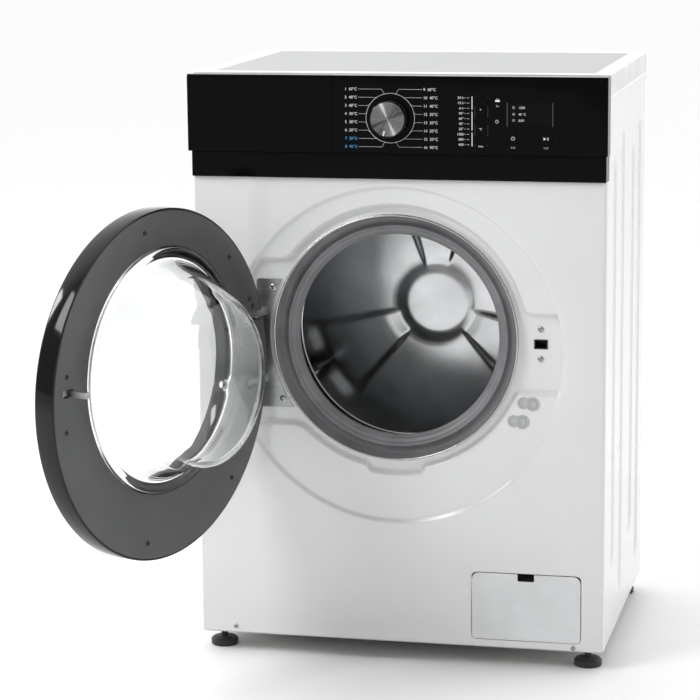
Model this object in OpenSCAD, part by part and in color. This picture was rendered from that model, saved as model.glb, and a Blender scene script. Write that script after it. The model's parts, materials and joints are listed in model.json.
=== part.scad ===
// Slim front load washing machine, drawn with its door standing open.
// Millimetres, +Z up, front towards -Y. The origin is on the floor under the cabinet's centre.

/* [Cabinet] */
// Width over the worktop
cab_w = 595; // [593:1:600]
// Depth from the front panel to the rear panel
cab_d = 450; // [446:1:470]
// Height with the feet screwed in
cab_h = 845; // [843:1:860]
// Height of the cabinet's underside above the floor
foot_gap = 27; // [26:1:32]
// Thickness of the pressed sheet steel
sheet = 1; // [0.8:0.1:1.2]
// Height of the worktop's edge
worktop_h = 30; // [28:1:34]

/* [Control panel] */
// Height of the glossy fascia
fascia_h = 108; // [104:1:110]
// Height of the set-back strip under the fascia
strip_h = 36; // [34:1:38]
// How far the fascia stands in front of the panel
fascia_proud = 9.6; // [8:0.2:11]
// Width of the detergent drawer's front
drawer_w = 209; // [205:1:212]
// Diameter of the programme knob
knob_d = 53; // [48:1:56]
// How far the programme knob stands out of the fascia
knob_proud = 20; // [16:1:24]
// Travel of each push button
button_travel = 1.2; // [0.8:0.1:1.5]

/* [Door] */
// Diameter of the door
door_d = 478; // [474:1:480]
// Thickness of the door's rim
door_t = 32; // [31:1:34]
// Gap between the front panel and the closed door
door_gap = 8; // [7:1:10]
// Angle the door stands open at
door_open = 110; // [0:5:110]
// Diameter of the clamped glass flange
glass_d = 336; // [330:1:340]
// Depth of the glass bowl behind its flange
bowl_depth = 92; // [70:1:94]

/* [Drum and tub] */
// Diameter of the front opening
open_d = 354; // [350:1:356]
// Height of the drum axis
drum_z = 473; // [470:1:475]
// Diameter of the drum
drum_d = 490; // [480:1:490]
// Depth of the drum
drum_len = 230; // [210:5:230]
// Diameter of the tub
tub_d = 528; // [524:1:530]
// Diameter of the drum pulley
pulley_d = 270; // [250:1:280]
// Diameter of the motor pulley
motor_pulley_d = 22; // [20:1:26]

/* [Hidden] */
$fn = 96;

yf = -cab_d / 2;                    // plane of the front panel
yb = cab_d / 2;                     // plane of the rear panel
side_x = cab_w / 2 - 1.5;           // outside of the side panels
panel_x = side_x - 3;               // half width of the front panel
wall_z = foot_gap + 2;              // lower edge of the panels
top_z = cab_h - worktop_h;          // upper edge of the panels
fascia_y = yf - fascia_proud;       // face of the fascia
fascia_top = cab_h - 1.5;
fascia_z = fascia_top - fascia_h;   // lower edge of the fascia
strip_z = fascia_z - strip_h;       // lower edge of the strip, and top of the front panel
fascia_back = fascia_y + 30;
seam_x = -cab_w / 2 + drawer_w;     // joint between the drawer front and the fascia
top_bevel = 4;                      // height of the slope along the panel's top edge
side_bevel = 6.8;                   // width of the slope down its right edge
bevel_depth = 2.5;                  // how far back both slopes run

axis_x = -3;                        // centre line of door, opening and drum
open_r = open_d / 2;
dish_r = 243.5;                     // radius of the pressed dish
dish_z = 447;                       // centre height of the dish and the door
pocket = 12;                        // depth of the dish's floor
floor_y = yf + pocket;
pad_y = yf + 4;                     // face of the two raised crescents in the dish

door_r = door_d / 2;
door_z = dish_z - 3;
glass_z = 464;
glass_r = glass_d / 2;
hinge_x = -215;
hinge_y = yf - 30;
door_in = yf - door_gap;            // inner face of the closed door
door_out = door_in - door_t;        // outer face of the closed door
lug_z = [506, 409];                 // heights of the two hinge lugs
lug_t = 12;
slot_t = lug_t + 2;
latch_x = 203.6;
latch_z = 469;

drum_r = drum_d / 2;
tub_r = tub_d / 2;
tub_t = 4;
tub_y0 = yf + 67;                   // front wall of the tub
tub_y1 = yf + 343;                  // rear wall of the tub
drum_y0 = tub_y0 + 18;
drum_y1 = drum_y0 + drum_len;
pulley_y = tub_y1 + 56;             // middle plane of the belt
motor_x = 60;
motor_z = 120;
filter_x = 185;
filter_z = 88;

flap = [107.5, 40.5, 263.3, 138];   // left, bottom, right and top edge of the filter flap

knob_x = -5;
knob_z = 785;

white = [0.93, 0.93, 0.93];
gloss_black = [0.03, 0.03, 0.035];
dark_grey = [0.2, 0.2, 0.22];
seal_grey = [0.5, 0.51, 0.53];
steel = [0.72, 0.73, 0.75];
plastic_grey = [0.8, 0.8, 0.78];

// ---- helpers -----------------------------------------------------------------------------

// A solid turned about the drum direction, from [radius, y] points
module turned(points, cx = axis_x, cz = drum_z)
  translate([cx, 0, cz]) rotate([90, 0, 0])
    rotate_extrude() polygon([for (p = points) [p[0], -p[1]]]);

// A flat shape drawn in x and z, standing between two y planes
module plate_y(y0, y1)
  translate([0, y1, 0]) rotate([90, 0, 0]) linear_extrude(y1 - y0) children();

// A flat shape drawn in y and z, standing between two x planes
module plate_x(x0, x1)
  translate([x0, 0, 0]) rotate([90, 0, 90]) linear_extrude(x1 - x0) children();

// A flat shape drawn in x and y, lying between two heights
module plate_z(z0, z1)
  translate([0, 0, z0]) linear_extrude(z1 - z0) children();

module box(lo, hi) translate(lo) cube(hi - lo);

module rod_y(x, z, r, y0, y1)
  translate([x, y1, z]) rotate([90, 0, 0]) cylinder(r = r, h = y1 - y0);

module rod_z(x, y, r, z0, z1)
  translate([x, y, z0]) cylinder(r = r, h = z1 - z0);

module rect(x0, z0, x1, z1) translate([x0, z0]) square([x1 - x0, z1 - z0]);

module round_rect(x0, z0, x1, z1, r) {
  rect(x0 + r, z0, x1 - r, z1);
  rect(x0, z0 + r, x1, z1 - r);
  for (x = [x0 + r, x1 - r], z = [z0 + r, z1 - r]) translate([x, z]) circle(r);
}

module disc(cx, cz, r) translate([cx, cz]) circle(r);

// Puts a piece drawn on the closed door where the open door holds it
module on_open_door()
  translate([hinge_x, hinge_y, 0]) rotate([0, 0, -door_open])
    translate([-hinge_x, -hinge_y, 0]) children();

// Rings of points for a round hose along a hand-picked route
function unit(v) = v / norm(v);
function heading(route, i) = unit(route[min(i + 1, len(route) - 1)] - route[max(i - 1, 0)]);
function side_of(d) = unit(cross(d, abs(d[2]) < 0.9 ? [0, 0, 1] : [1, 0, 0]));
function ring(p, d, r, n) = let (a = side_of(d), b = cross(d, a))
  [for (k = [0 : n - 1]) p + r * (cos(360 * k / n) * a + sin(360 * k / n) * b)];
function smooth(route, steps = 4) = [for (i = [0 : len(route) - 2], s = [0 : steps - 1])
  let (t = s / steps, a = route[max(i - 1, 0)], b = route[i], c = route[i + 1],
       e = route[min(i + 2, len(route) - 1)])
  0.5 * (2 * b + (c - a) * t + (2 * a - 5 * b + 4 * c - e) * t * t
    + (3 * b - a - 3 * c + e) * t * t * t), route[len(route) - 1]];

module hose(route, r, n = 10) {
  rings = len(route);
  points = [for (i = [0 : rings - 1]) each ring(route[i], heading(route, i), r, n)];
  walls = [for (i = [0 : rings - 2], k = [0 : n - 1])
    [i * n + k, i * n + (k + 1) % n, (i + 1) * n + (k + 1) % n, (i + 1) * n + k]];
  first = [for (k = [n - 1 : -1 : 0]) k];
  last = [for (k = [0 : n - 1]) (rings - 1) * n + k];
  polyhedron(points, concat([first, last], walls));
}

// ---- cabinet -----------------------------------------------------------------------------

foot_x = side_x - 26;
foot_y = [yf + 34, yb - 34];

module base_frame() color(plastic_grey) {
  difference() {
    union() {
      difference() {
        box([-side_x + 4, yf + 4, foot_gap], [side_x - 4, yb - 4, foot_gap + 20]);
        box([-side_x + 7, yf + 7, foot_gap + 3], [side_x - 7, yb - 7, foot_gap + 21]);
        box([-200, -150, foot_gap - 1], [140, 150, foot_gap + 4]);
      }
      for (x = [-foot_x, foot_x], y = foot_y) rod_z(x, y, 16, foot_gap, foot_gap + 20);
      for (x = [-205, 205]) box([axis_x + x - 6, 4, foot_gap + 2], [axis_x + x + 6, 36, 47]);
      box([filter_x - 20, -100, foot_gap + 2], [filter_x, -70, filter_z - 26]);
      box([filter_x - 10, -200, foot_gap + 2], [filter_x + 10, -170, filter_z - 36]);
    }
    for (x = [-foot_x, foot_x], y = foot_y) rod_z(x, y, 5.4, foot_gap - 1, foot_gap + 21);
  }
}

// Front edge, lower end and upper end of each pressed rib, measured from the front panel
ribs = [[52, 129, 728], [144, 69, 759], [262, 129, 724], [344, 69, 757]];
rib_w = 56;
rib_depth = 2.5;

module rib_outline(rib, w, grow)
  for (z = [rib[1] + w / 2, rib[2] - w / 2]) {
    disc(yf + rib[0] + w / 2, z, w / 2 + grow);
    rect(yf + rib[0] - grow, rib[1] + w / 2, yf + rib[0] + w + grow, rib[2] - w / 2);
  }

module side_sheet() {
  difference() {
    union() {
      box([side_x - sheet, yf + 8, wall_z], [side_x, yb - 1, top_z]);
      for (rib = ribs)
        plate_x(side_x - sheet - rib_depth, side_x - sheet) rib_outline(rib, rib_w, 1);
    }
    for (rib = ribs)
      plate_x(side_x - rib_depth, side_x + 1) rib_outline(rib, rib_w, 0);
  }
  translate([0, 0, wall_z]) linear_extrude(top_z - wall_z) intersection() {
    difference() {
      translate([side_x - 7, yf + 8]) circle(7);
      translate([side_x - 7, yf + 8]) circle(7 - sheet);
    }
    translate([side_x - 7, yf]) square([8, 8]);
  }
  box([side_x - 24, yf + 1, wall_z], [side_x - 7, yf + 1 + sheet, top_z]);
  box([side_x - 22, yb - 2, wall_z], [side_x - sheet, yb - 1, top_z]);
}

module side_panel_right() color(white) difference() {
  side_sheet();
  // The fascia and its strip stand where the upper front corner would be
  box([0, yf - 1, strip_z], [side_x + 1, fascia_back + 0.5, top_z + 1]);
}
module side_panel_left() mirror([1, 0, 0]) side_panel_right();

service = [axis_x - 150, drum_z - 150, axis_x + 150, drum_z + 150];
transit = [for (x = [-190, 190], z = [340, 606]) [axis_x + x, z]];
gland = [-240, 640];
valve = [-215, 775];
drain = [245, 640];
rear_screw_at = [for (x = [-281, 281], z = [80, 420, 760]) [x, z]];
cover_screw_at = [for (x = [-163, 163], z = [-163, 163]) [axis_x + x, drum_z + z]];

module rear_panel() color(steel) plate_y(yb - 1, yb) difference() {
  rect(-side_x + 1.5, wall_z, side_x - 1.5, top_z);
  round_rect(service[0], service[1], service[2], service[3], 30);
  for (p = transit) disc(p[0], p[1], 12);
  disc(gland[0], gland[1], 8.2);
  disc(valve[0], valve[1], 17);
  disc(drain[0], drain[1], 12.2);
  for (p = concat(rear_screw_at, cover_screw_at)) disc(p[0], p[1], 2.1);
}

module rear_service_cover() color(steel) difference() {
  union() {
    plate_y(yb, yb + 1) round_rect(service[0] - 22, service[1] - 22, service[2] + 22,
      service[3] + 22, 34);
    plate_y(yb + 1, yb + 4) round_rect(service[0], service[1], service[2], service[3], 30);
  }
  plate_y(yb - 1, yb + 3) round_rect(service[0] + 2, service[1] + 2, service[2] - 2,
    service[3] - 2, 28);
  for (p = cover_screw_at) rod_y(p[0], p[1], 2.1, yb - 1, yb + 2);
}

module screw_y(x, z, face, out, r = 2, head = 4.5, reach = 9) {
  // The head stands on the face, on the side that out points to
  rod_y(x, z, head, min(face, face + 2.6 * out), max(face, face + 2.6 * out));
  rod_y(x, z, r, min(face, face - reach * out), max(face, face - reach * out));
}

module cabinet_screws() color(steel) {
  for (p = rear_screw_at) screw_y(p[0], p[1], yb, 1, reach = 1);
  for (p = cover_screw_at) screw_y(p[0], p[1], yb + 1, 1, reach = 6);
  for (z = lock_screw_z) screw_y(latch_x, z, floor_y, -1, r = 2.2, head = 4.5, reach = 6);
  for (p = lip_screw_at) screw_y(p[0], p[1], yf, -1, r = 2, head = 3.6, reach = 1);
  for (p = hinge_screw_at) screw_y(p[0], p[1], floor_y - 2, -1, r = 2.5, head = 6, reach = 9);
}

module transit_bolt_caps() color(plastic_grey)
  for (p = transit) {
    rod_y(p[0], p[1], 17, yb, yb + 3);
    rod_y(p[0], p[1], 11.8, yb - 10, yb);
  }

module cable_gland() color(dark_grey) difference() {
  union() {
    rod_y(gland[0], gland[1], 12, yb, yb + 6);
    rod_y(gland[0], gland[1], 8, yb - 8, yb);
  }
  rod_y(gland[0], gland[1], 4, yb - 9, yb + 7);
}

module worktop_frame() color(white) difference() {
  box([-cab_w / 2, fascia_back, top_z], [cab_w / 2, yb, cab_h]);
  box([-cab_w / 2 + 26, fascia_back + 22, top_z - 1], [cab_w / 2 - 26, yb - 20, cab_h + 1]);
  box([-side_x + 6, fascia_back + 6, top_z - 1], [side_x - 6, yb - 6, cab_h - 4]);
}

module worktop_panel() color(white)
  box([-cab_w / 2 + 26.2, fascia_back + 22.2, cab_h - 17], [cab_w / 2 - 26.2, yb - 20.2, cab_h - 1]);

// The two crescents stay high; the pockets for hinge and lock and a band round the mouth lie low
module crescents(trim) difference() {
  disc(axis_x, dish_z, dish_r - 9 - trim);
  disc(axis_x, drum_z, open_r + 11 + trim);
  rect(axis_x - 260, 346 - trim, axis_x, 579 + trim);
  rect(axis_x, 400 - trim, axis_x + 260, 510 + trim);
}

module front_panel() color(white) difference() {
  union() {
    plate_y(yf, yf + sheet) difference() {
      rect(-panel_x, wall_z, panel_x, strip_z);
      disc(axis_x, dish_z, dish_r - 1);
    }
    turned([[dish_r - sheet, yf], [dish_r, yf], [dish_r, yf + sheet], [dish_r - 6, floor_y + sheet],
      [dish_r - 7.5, floor_y + sheet], [dish_r - 7.5, floor_y]], cz = dish_z);
    plate_y(floor_y, floor_y + sheet) difference() {
      disc(axis_x, dish_z, dish_r - 7);
      disc(axis_x, drum_z, open_r);
      crescents(1);
    }
    difference() {
      plate_y(pad_y, floor_y + sheet) crescents(0);
      plate_y(pad_y + sheet, floor_y + 2) crescents(sheet);
    }
    turned([[open_r, yf + 3], [open_r + sheet, yf + 3], [open_r + sheet, floor_y + sheet],
      [open_r, floor_y + sheet]]);
  }
  plate_y(yf - 1, yf + 3) flap_outline(1, 5);
  plate_y(floor_y - 1, floor_y + 2) {
    rect(latch_x - 10, latch_z - 7, latch_x + 10, latch_z + 7);
    for (z = lock_screw_z) disc(latch_x, z, 2.4);
    for (p = hinge_screw_at) disc(p[0], p[1], 2.6);
  }
  for (p = lip_screw_at) rod_y(p[0], p[1], 2.2, yf - 1, yf + 3);
}

lock_screw_z = [latch_z - 21, latch_z + 21];
hinge_screw_at = [[-181, 540], [-169.5, 378]];
lip_screw_at = [[-243, 38], [253, 33.5]];

module front_crossbar() color(steel) difference() {
  box([-side_x + 8, fascia_back + 2, strip_z + 2], [side_x - 8, fascia_back + 15, strip_z + 32]);
  box([-side_x + 7, fascia_back + 3.5, strip_z + 3.5], [side_x - 7, fascia_back + 16, strip_z + 30.5]);
}

// ---- control panel -----------------------------------------------------------------------

// Centre and size of the delay, temperature, spin, power and start buttons
button_at = [[123, 808], [123, 782.5], [123, 757], [167, 759], [212.5, 759]];
button_size = [[18.5, 12], [18.5, 12], [18.5, 12], [18, 15], [18, 15]];
display = [158.5, 775.5, 222.5, 809];

module button_outline(i, grow)
  round_rect(button_at[i][0] - button_size[i][0] / 2 - grow, button_at[i][1] - button_size[i][1] / 2 - grow,
    button_at[i][0] + button_size[i][0] / 2 + grow, button_at[i][1] + button_size[i][1] / 2 + grow, 1.5);

// Slopes ground off the panel's top and right front edges
module top_slope() plate_x(-cab_w / 2 - 1, cab_w / 2 + 1)
  polygon([[fascia_y - 1, fascia_top - top_bevel * (1 + 1 / bevel_depth)],
    [fascia_y + bevel_depth + 1, fascia_top + top_bevel / bevel_depth],
    [fascia_y - 1, fascia_top + top_bevel / bevel_depth]]);

module side_slope() translate([cab_w / 2, fascia_y, fascia_z - 1]) linear_extrude(fascia_h + 2)
  polygon([[-side_bevel * (1 + 1 / bevel_depth), -1], [side_bevel / bevel_depth, bevel_depth + 1],
    [side_bevel / bevel_depth, -1]]);

module control_fascia() color(gloss_black) difference() {
  union() {
    difference() {
      box([seam_x + 0.5, fascia_y, fascia_z], [cab_w / 2, fascia_back - 0.5, fascia_top]);
      box([seam_x + 3.5, fascia_y + 3, fascia_z + 3], [cab_w / 2 - 3, fascia_back + 1, fascia_top - 3]);
    }
    difference() {
      box([-cab_w / 2 + 4, fascia_y + 14, fascia_z], [seam_x + 4, fascia_y + 17, fascia_top - 2]);
      box([-cab_w / 2 + 9, fascia_y + 13, fascia_z + 6], [seam_x - 5, fascia_y + 18, fascia_top - 26]);
    }
  }
  rod_y(knob_x, knob_z, 7.5, fascia_y - 1, fascia_y + 4);
  for (i = [0 : 4]) plate_y(fascia_y - 1, fascia_y + 4) button_outline(i, 0.4);
  plate_y(fascia_y - 1, fascia_y + 1.5)
    round_rect(display[0], display[1], display[2], display[3], 2);
  top_slope();
  side_slope();
}

module fascia_lower_strip() color(gloss_black) difference() {
  box([-cab_w / 2 + 4, fascia_y + 4, strip_z], [cab_w / 2 - 2, fascia_back, fascia_z]);
  box([-cab_w / 2 + 7, fascia_y + 7, strip_z - 1], [cab_w / 2 - 5, fascia_back + 1, fascia_z - 2]);
}

module display_window() color([0.08, 0.08, 0.09])
  plate_y(fascia_y, fascia_y + 1.4)
    round_rect(display[0] + 0.2, display[1] + 0.2, display[2] - 0.2, display[3] - 0.2, 1.8);

module control_board() color([0.1, 0.35, 0.15]) difference() {
  union() {
    plate_y(fascia_y + 12, fascia_y + 13.6) rect(-60, fascia_z + 8, 250, fascia_top - 8);
    for (i = [0 : 4]) plate_y(fascia_y + 9, fascia_y + 12)
      rect(button_at[i][0] - 3, button_at[i][1] - 3, button_at[i][0] + 3, button_at[i][1] + 3);
    box([20, fascia_y + 13.6, fascia_z + 20], [90, fascia_back + 20, fascia_top - 30]);
  }
  rod_y(knob_x, knob_z, 5.5, fascia_y + 8, fascia_y + 15);
}

module programme_knob() color(dark_grey) {
  turned([[0, fascia_y - knob_proud + 1.5], [knob_d / 2 - 6, fascia_y - knob_proud + 1.5],
    [knob_d / 2 - 5, fascia_y - knob_proud], [knob_d / 2 - 2.5, fascia_y - knob_proud],
    [knob_d / 2 - 1.2, fascia_y - knob_proud + 1.5], [knob_d / 2, fascia_y - 0.6], [0, fascia_y - 0.6]],
    cx = knob_x, cz = knob_z);
  rod_y(knob_x, knob_z, 5.4, fascia_y - 0.6, fascia_y + 11);
  rod_y(knob_x, knob_z, 4.5, fascia_y + 11, fascia_y + 18);
}

module button(i) color(gloss_black) {
  plate_y(fascia_y - 0.2, fascia_y + 4) button_outline(i, 0);
  rod_y(button_at[i][0], button_at[i][1], 2, fascia_y + 4, fascia_y + 9 - button_travel - 0.3);
}

module button_temp() button(1);
module button_spin() button(2);
module button_delay() button(0);
module button_power() button(3);
module button_start() button(4);

// ---- detergent drawer --------------------------------------------------------------------

tray = [-cab_w / 2 + 14, seam_x - 10];          // left and right side of the tray
tray_z = [fascia_z + 12, fascia_top - 40];      // floor and rim of the tray
tray_back = yf + 178;
walls_x = [tray[0] + 62, tray[0] + 124];        // partitions between the three compartments

module detergent_drawer() color(gloss_black) {
  difference() {
    box([-cab_w / 2, fascia_y, fascia_z], [seam_x, fascia_y + 12.5, fascia_top]);
    box([-cab_w / 2 + 3, fascia_y + 3, fascia_z - 1], [seam_x - 3, fascia_y + 9.5, fascia_top - 3]);
    box([-cab_w / 2 + 40, fascia_y + 3, fascia_z - 1], [seam_x - 40, fascia_y + 14, fascia_z + 8]);
    top_slope();
  }
  difference() {
    box([tray[0], fascia_y + 12.5, tray_z[0]], [tray[1], tray_back, tray_z[1]]);
    box([tray[0] + 2, fascia_y + 14.5, tray_z[0] + 2], [walls_x[0] - 1, tray_back - 2, tray_z[1] + 1]);
    box([walls_x[0] + 1, fascia_y + 14.5, tray_z[0] + 2], [walls_x[1] - 1, tray_back - 2, tray_z[1] + 1]);
    box([walls_x[1] + 1, fascia_y + 14.5, tray_z[0] + 2], [tray[1] - 2, tray_back - 2, tray_z[1] + 1]);
  }
}

module dispenser_housing() color(plastic_grey) difference() {
  box([tray[0] - 5, fascia_y + 18, tray_z[0] - 6], [tray[1] + 5, tray_back + 20, tray_z[1] + 9]);
  box([tray[0] - 1, fascia_y + 17, tray_z[0] - 1], [tray[1] + 1, tray_back + 17, tray_z[1] + 6]);
  rod_z(-170, tray_back + 6, 14, tray_z[0] - 7, tray_z[0]);
}

// ---- door --------------------------------------------------------------------------------

door_screw_at = [for (a = [12.6, 79.3, 134, 155.6, 227.4, 283.5, 353.2])
  [axis_x + 215 * cos(a), door_z + 215 * sin(a)]];

module lug_gaps(depth) for (z = lug_z)
  box([hinge_x - 32, door_in - depth, z - slot_t / 2], [hinge_x + 20, door_in + 2, z + slot_t / 2]);

window_r = glass_r - 14;            // radius of the opening in the door's outer ring

module door_outer_ring() color(gloss_black) on_open_door() difference() {
  union() {
    difference() {
      turned([[0, door_out], [door_r - 3.5, door_out], [door_r - 1, door_out + 1], [door_r, door_out + 3.5],
        [door_r, door_in - 2.5], [door_r - 0.8, door_in - 1.5], [door_r - 2.8, door_in - 1.5],
        [door_r - 2.8, door_out + 5], [door_r - 5, door_out + 3], [0, door_out + 3]], cz = door_z);
      rod_y(axis_x, glass_z, window_r, door_out - 1, door_out + 4);
    }
    turned([[window_r, door_out], [window_r + 3, door_out], [window_r + 3, door_in - 14],
      [window_r, door_in - 14]], cz = glass_z);
  }
  lug_gaps(28);
}

module door_inner_ring() color(dark_grey) on_open_door() difference() {
  union() {
    difference() {
      union() {
        turned([[0, door_in], [door_r - 4, door_in], [door_r - 3, door_in - 1], [door_r - 3, door_in - 12],
          [door_r - 6, door_in - 12], [door_r - 6, door_in - 4], [0, door_in - 4]], cz = door_z);
        turned([[glass_r - 2, door_in - 4], [glass_r + 4, door_in - 4], [glass_r + 4, door_in - 10],
          [glass_r - 2, door_in - 10]], cz = glass_z);
      }
      rod_y(axis_x, glass_z, glass_r, door_in - 11, door_in + 1);
    }
    intersection() {
      box([axis_x - door_r, door_out + 4.5, 388], [hinge_x + 24, door_in - 4, 527]);
      rod_y(axis_x, door_z, door_r - 8, door_out, door_in);
    }
    for (p = door_screw_at) rod_y(p[0], p[1], 6, door_out + 3, door_in - 4);
    box([latch_x - 10, door_in - 16, latch_z - 12], [latch_x + 14, door_in - 4, latch_z + 12]);
  }
  lug_gaps(28);
  for (z = lug_z) rod_z(hinge_x, hinge_y, 3, z - 13, z + 13);
  for (p = door_screw_at) rod_y(p[0], p[1], 2.2, door_in - 13, door_in + 1);
  box([latch_x - 9, door_in - 17, latch_z - 5], [latch_x + 11, door_in + 1, latch_z + 5]);
  rod_z(latch_x + 4, door_in - 8, 2, latch_z - 10, latch_z + 10);
}

bowl = [[glass_r - 0.5, door_in - 4], [glass_r - 0.5, door_in - 0.5], [glass_r - 16, door_in - 0.5],
  [glass_r - 19, door_in + 3], [glass_r - 35, door_in + 34], [glass_r - 52, door_in + bowl_depth - 12],
  [glass_r - 62, door_in + bowl_depth - 3], [glass_r - 84, door_in + bowl_depth], [0, door_in + bowl_depth + 3],
  [0, door_in + bowl_depth - 1], [glass_r - 85, door_in + bowl_depth - 4],
  [glass_r - 65, door_in + bowl_depth - 7], [glass_r - 56, door_in + bowl_depth - 14],
  [glass_r - 39, door_in + 34], [glass_r - 22.5, door_in + 1], [glass_r - 20, door_in - 4]];

module door_glass() color([0.75, 0.8, 0.82, 0.4]) on_open_door() turned(bowl, cz = glass_z);

module door_screws() color(steel) on_open_door()
  for (p = door_screw_at) screw_y(p[0], p[1], door_in, 1, r = 2.2, head = 4.2, reach = 12.5);

module hinge_pins() color(steel) on_open_door() {
  for (z = lug_z) rod_z(hinge_x, hinge_y, 3, z - 13, z + 13);
  rod_z(latch_x + 4, door_in - 8, 2, latch_z - 10, latch_z + 10);
}

module latch_hook() color(steel) on_open_door() difference() {
  union() {
    box([latch_x - 2, door_in - 12, latch_z - 4], [latch_x + 2, door_in + 30, latch_z + 4]);
    box([latch_x - 7, door_in + 26, latch_z - 4], [latch_x - 2, door_in + 30, latch_z + 4]);
    rod_z(latch_x + 4, door_in - 8, 4.5, latch_z - 4, latch_z + 4);
  }
  rod_z(latch_x + 4, door_in - 8, 2.06, latch_z - 5, latch_z + 5);
}

// ---- hinge and lock ----------------------------------------------------------------------

module hinge_plate() color(steel) {
  plate_y(floor_y - 2, floor_y) difference() {
    round_rect(-206, 366, -150, 552, 4);
    disc(axis_x, drum_z, open_r + 7);
    for (p = hinge_screw_at) disc(p[0], p[1], 2.6);
  }
  for (z = lug_z) plate_z(z - lug_t / 2, z + lug_t / 2) difference() {
    union() {
      polygon([[-198, floor_y - 2], [-190, floor_y - 2], [hinge_x + 5.2, hinge_y - 3.1],
        [hinge_x - 5.2, hinge_y + 3.1]]);
      translate([hinge_x, hinge_y]) circle(6);
    }
    translate([hinge_x, hinge_y]) circle(3.08);
  }
}

module door_lock() color([0.06, 0.06, 0.06]) difference() {
  union() {
    box([latch_x - 18, floor_y + 1, latch_z - 34], [latch_x + 17, floor_y + 36, latch_z + 30]);
    box([latch_x - 9.6, floor_y - 1, latch_z - 6.6], [latch_x + 9.6, floor_y + 1, latch_z + 6.6]);
  }
  box([latch_x - 8, floor_y - 2, latch_z - 5.5], [latch_x + 8, floor_y + 28, latch_z + 5.5]);
  for (z = lock_screw_z) rod_y(latch_x, z, 2.2, floor_y, floor_y + 8);
}

// ---- gasket, tub and drum ----------------------------------------------------------------

module gasket() color(seal_grey) turned([[open_r - 0.5, yf + 2], [open_r - 0.5, yf + 25],
  [open_r - 4, yf + 30], [open_r - 24, yf + 36], [open_r - 18, yf + 42], [open_r - 12, yf + 46],
  [open_r - 12, tub_y0], [open_r - 15, tub_y0], [open_r - 15, yf + 48], [open_r - 20, yf + 44.5],
  [open_r - 32.5, yf + 33], [open_r - 32.5, yf + 27], [open_r - 27, yf + 22], [open_r - 19, yf + 16],
  [open_r - 12, yf + 22], [open_r - 7, yf + 22], [open_r - 4, yf + 11], [open_r - 4, yf + 2]]);

module gasket_clamp() color(steel) translate([axis_x, yf + 0.4, drum_z]) rotate([90, 0, 0])
  rotate_extrude() translate([open_r - 2, 0]) circle(1.6, $fn = 24);

neck_r = open_r - 16;

module tub_front() color(plastic_grey) turned([[neck_r, tub_y0], [tub_r - 5, tub_y0],
  [tub_r, tub_y0 + 5], [tub_r, -26], [tub_r + 8, -26], [tub_r + 8, -20], [tub_r - tub_t, -20],
  [tub_r - tub_t, tub_y0 + 5], [tub_r - 7, tub_y0 + tub_t], [neck_r, tub_y0 + tub_t]]);

module tub_rear() color(plastic_grey) difference() {
  union() {
    turned([[tub_r - tub_t, -20], [tub_r + 8, -20], [tub_r + 8, -14], [tub_r, -14],
      [tub_r, tub_y1 - 5], [tub_r - 5, tub_y1], [46, tub_y1], [46, tub_y1 + 46], [32, tub_y1 + 46],
      [32, tub_y1 - 12], [46, tub_y1 - 12], [46, tub_y1 - tub_t], [tub_r - 7, tub_y1 - tub_t],
      [tub_r - tub_t, tub_y1 - 7]]);
    for (a = [15 : 30 : 345]) translate([axis_x, 0, drum_z]) rotate([0, -a, 0])
      box([42, tub_y1 - 2, -2], [tub_r - 12, tub_y1 + 12, 2]);
    turned([[24, tub_y1 + 4], [33, tub_y1 + 4], [33, tub_y1 + 24], [24, tub_y1 + 24]]);
    for (x = [-30, 30], y = [45, 115])
      box([motor_x + x - 6, y - 10, motor_z + 58], [motor_x + x + 6, y + 10, motor_z + (x < 0 ? 94 : 106)]);
  }
  plate_y(tub_y1 - 13, tub_y1 + 1) round_rect(axis_x - 34, drum_z - 259, axis_x + 34, drum_z - 247, 4);
}

module counterweights() color([0.6, 0.6, 0.58]) plate_y(tub_y0 - 30, tub_y0) difference() {
  disc(axis_x, drum_z, tub_r - 14);
  disc(axis_x, drum_z, open_r + 6);
  rect(axis_x - 270, drum_z - 70, axis_x + 270, drum_z + 70);
}

shaft_r = 12.5;

module bearings() color(steel) {
  for (y = [tub_y1 - 12, tub_y1 + 24]) {
    turned([[shaft_r + 0.06, y + 1], [shaft_r + 5, y + 1], [shaft_r + 5, y + 15], [shaft_r + 0.06, y + 15]]);
    turned([[27, y + 1], [31.9, y + 1], [31.9, y + 15], [27, y + 15]]);
    for (a = [0 : 40 : 320]) translate([axis_x, y + 8, drum_z]) rotate([0, a, 0])
      translate([22.2, 0, 0]) sphere(4.6, $fn = 24);
  }
}

module shaft_seal() color(dark_grey) turned([[shaft_r + 0.3, tub_y1 - 16], [40, tub_y1 - 16],
  [40, tub_y1 - 12], [shaft_r + 0.3, tub_y1 - 12]]);

module heater() color(steel) {
  for (x = [-22, 22]) rod_y(axis_x + x, drum_z - 252.6, 3, tub_y0 + 40, tub_y1 + 6);
  translate([axis_x, tub_y0 + 40, drum_z - 252.6]) intersection() {
    rotate_extrude() translate([22, 0]) circle(3, $fn = 32);
    box([-30, -30, -4], [30, 0, 4]);
  }
  plate_y(tub_y1, tub_y1 + 6) round_rect(axis_x - 36, drum_z - 258, axis_x + 36, drum_z - 246, 4);
}

function coil(x, y, z0, z1, r, turns, steps = 14) = [for (i = [0 : turns * steps])
  [x + r * cos(360 * i / steps), y + r * sin(360 * i / steps), z0 + (z1 - z0) * i / (turns * steps)]];

spring_x = 232;

module suspension_springs() color(steel) for (side = [-1, 1])
  hose(coil(axis_x + side * spring_x, 20, 640, 800, 9, 9, 12), 1.6, 6);

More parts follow.
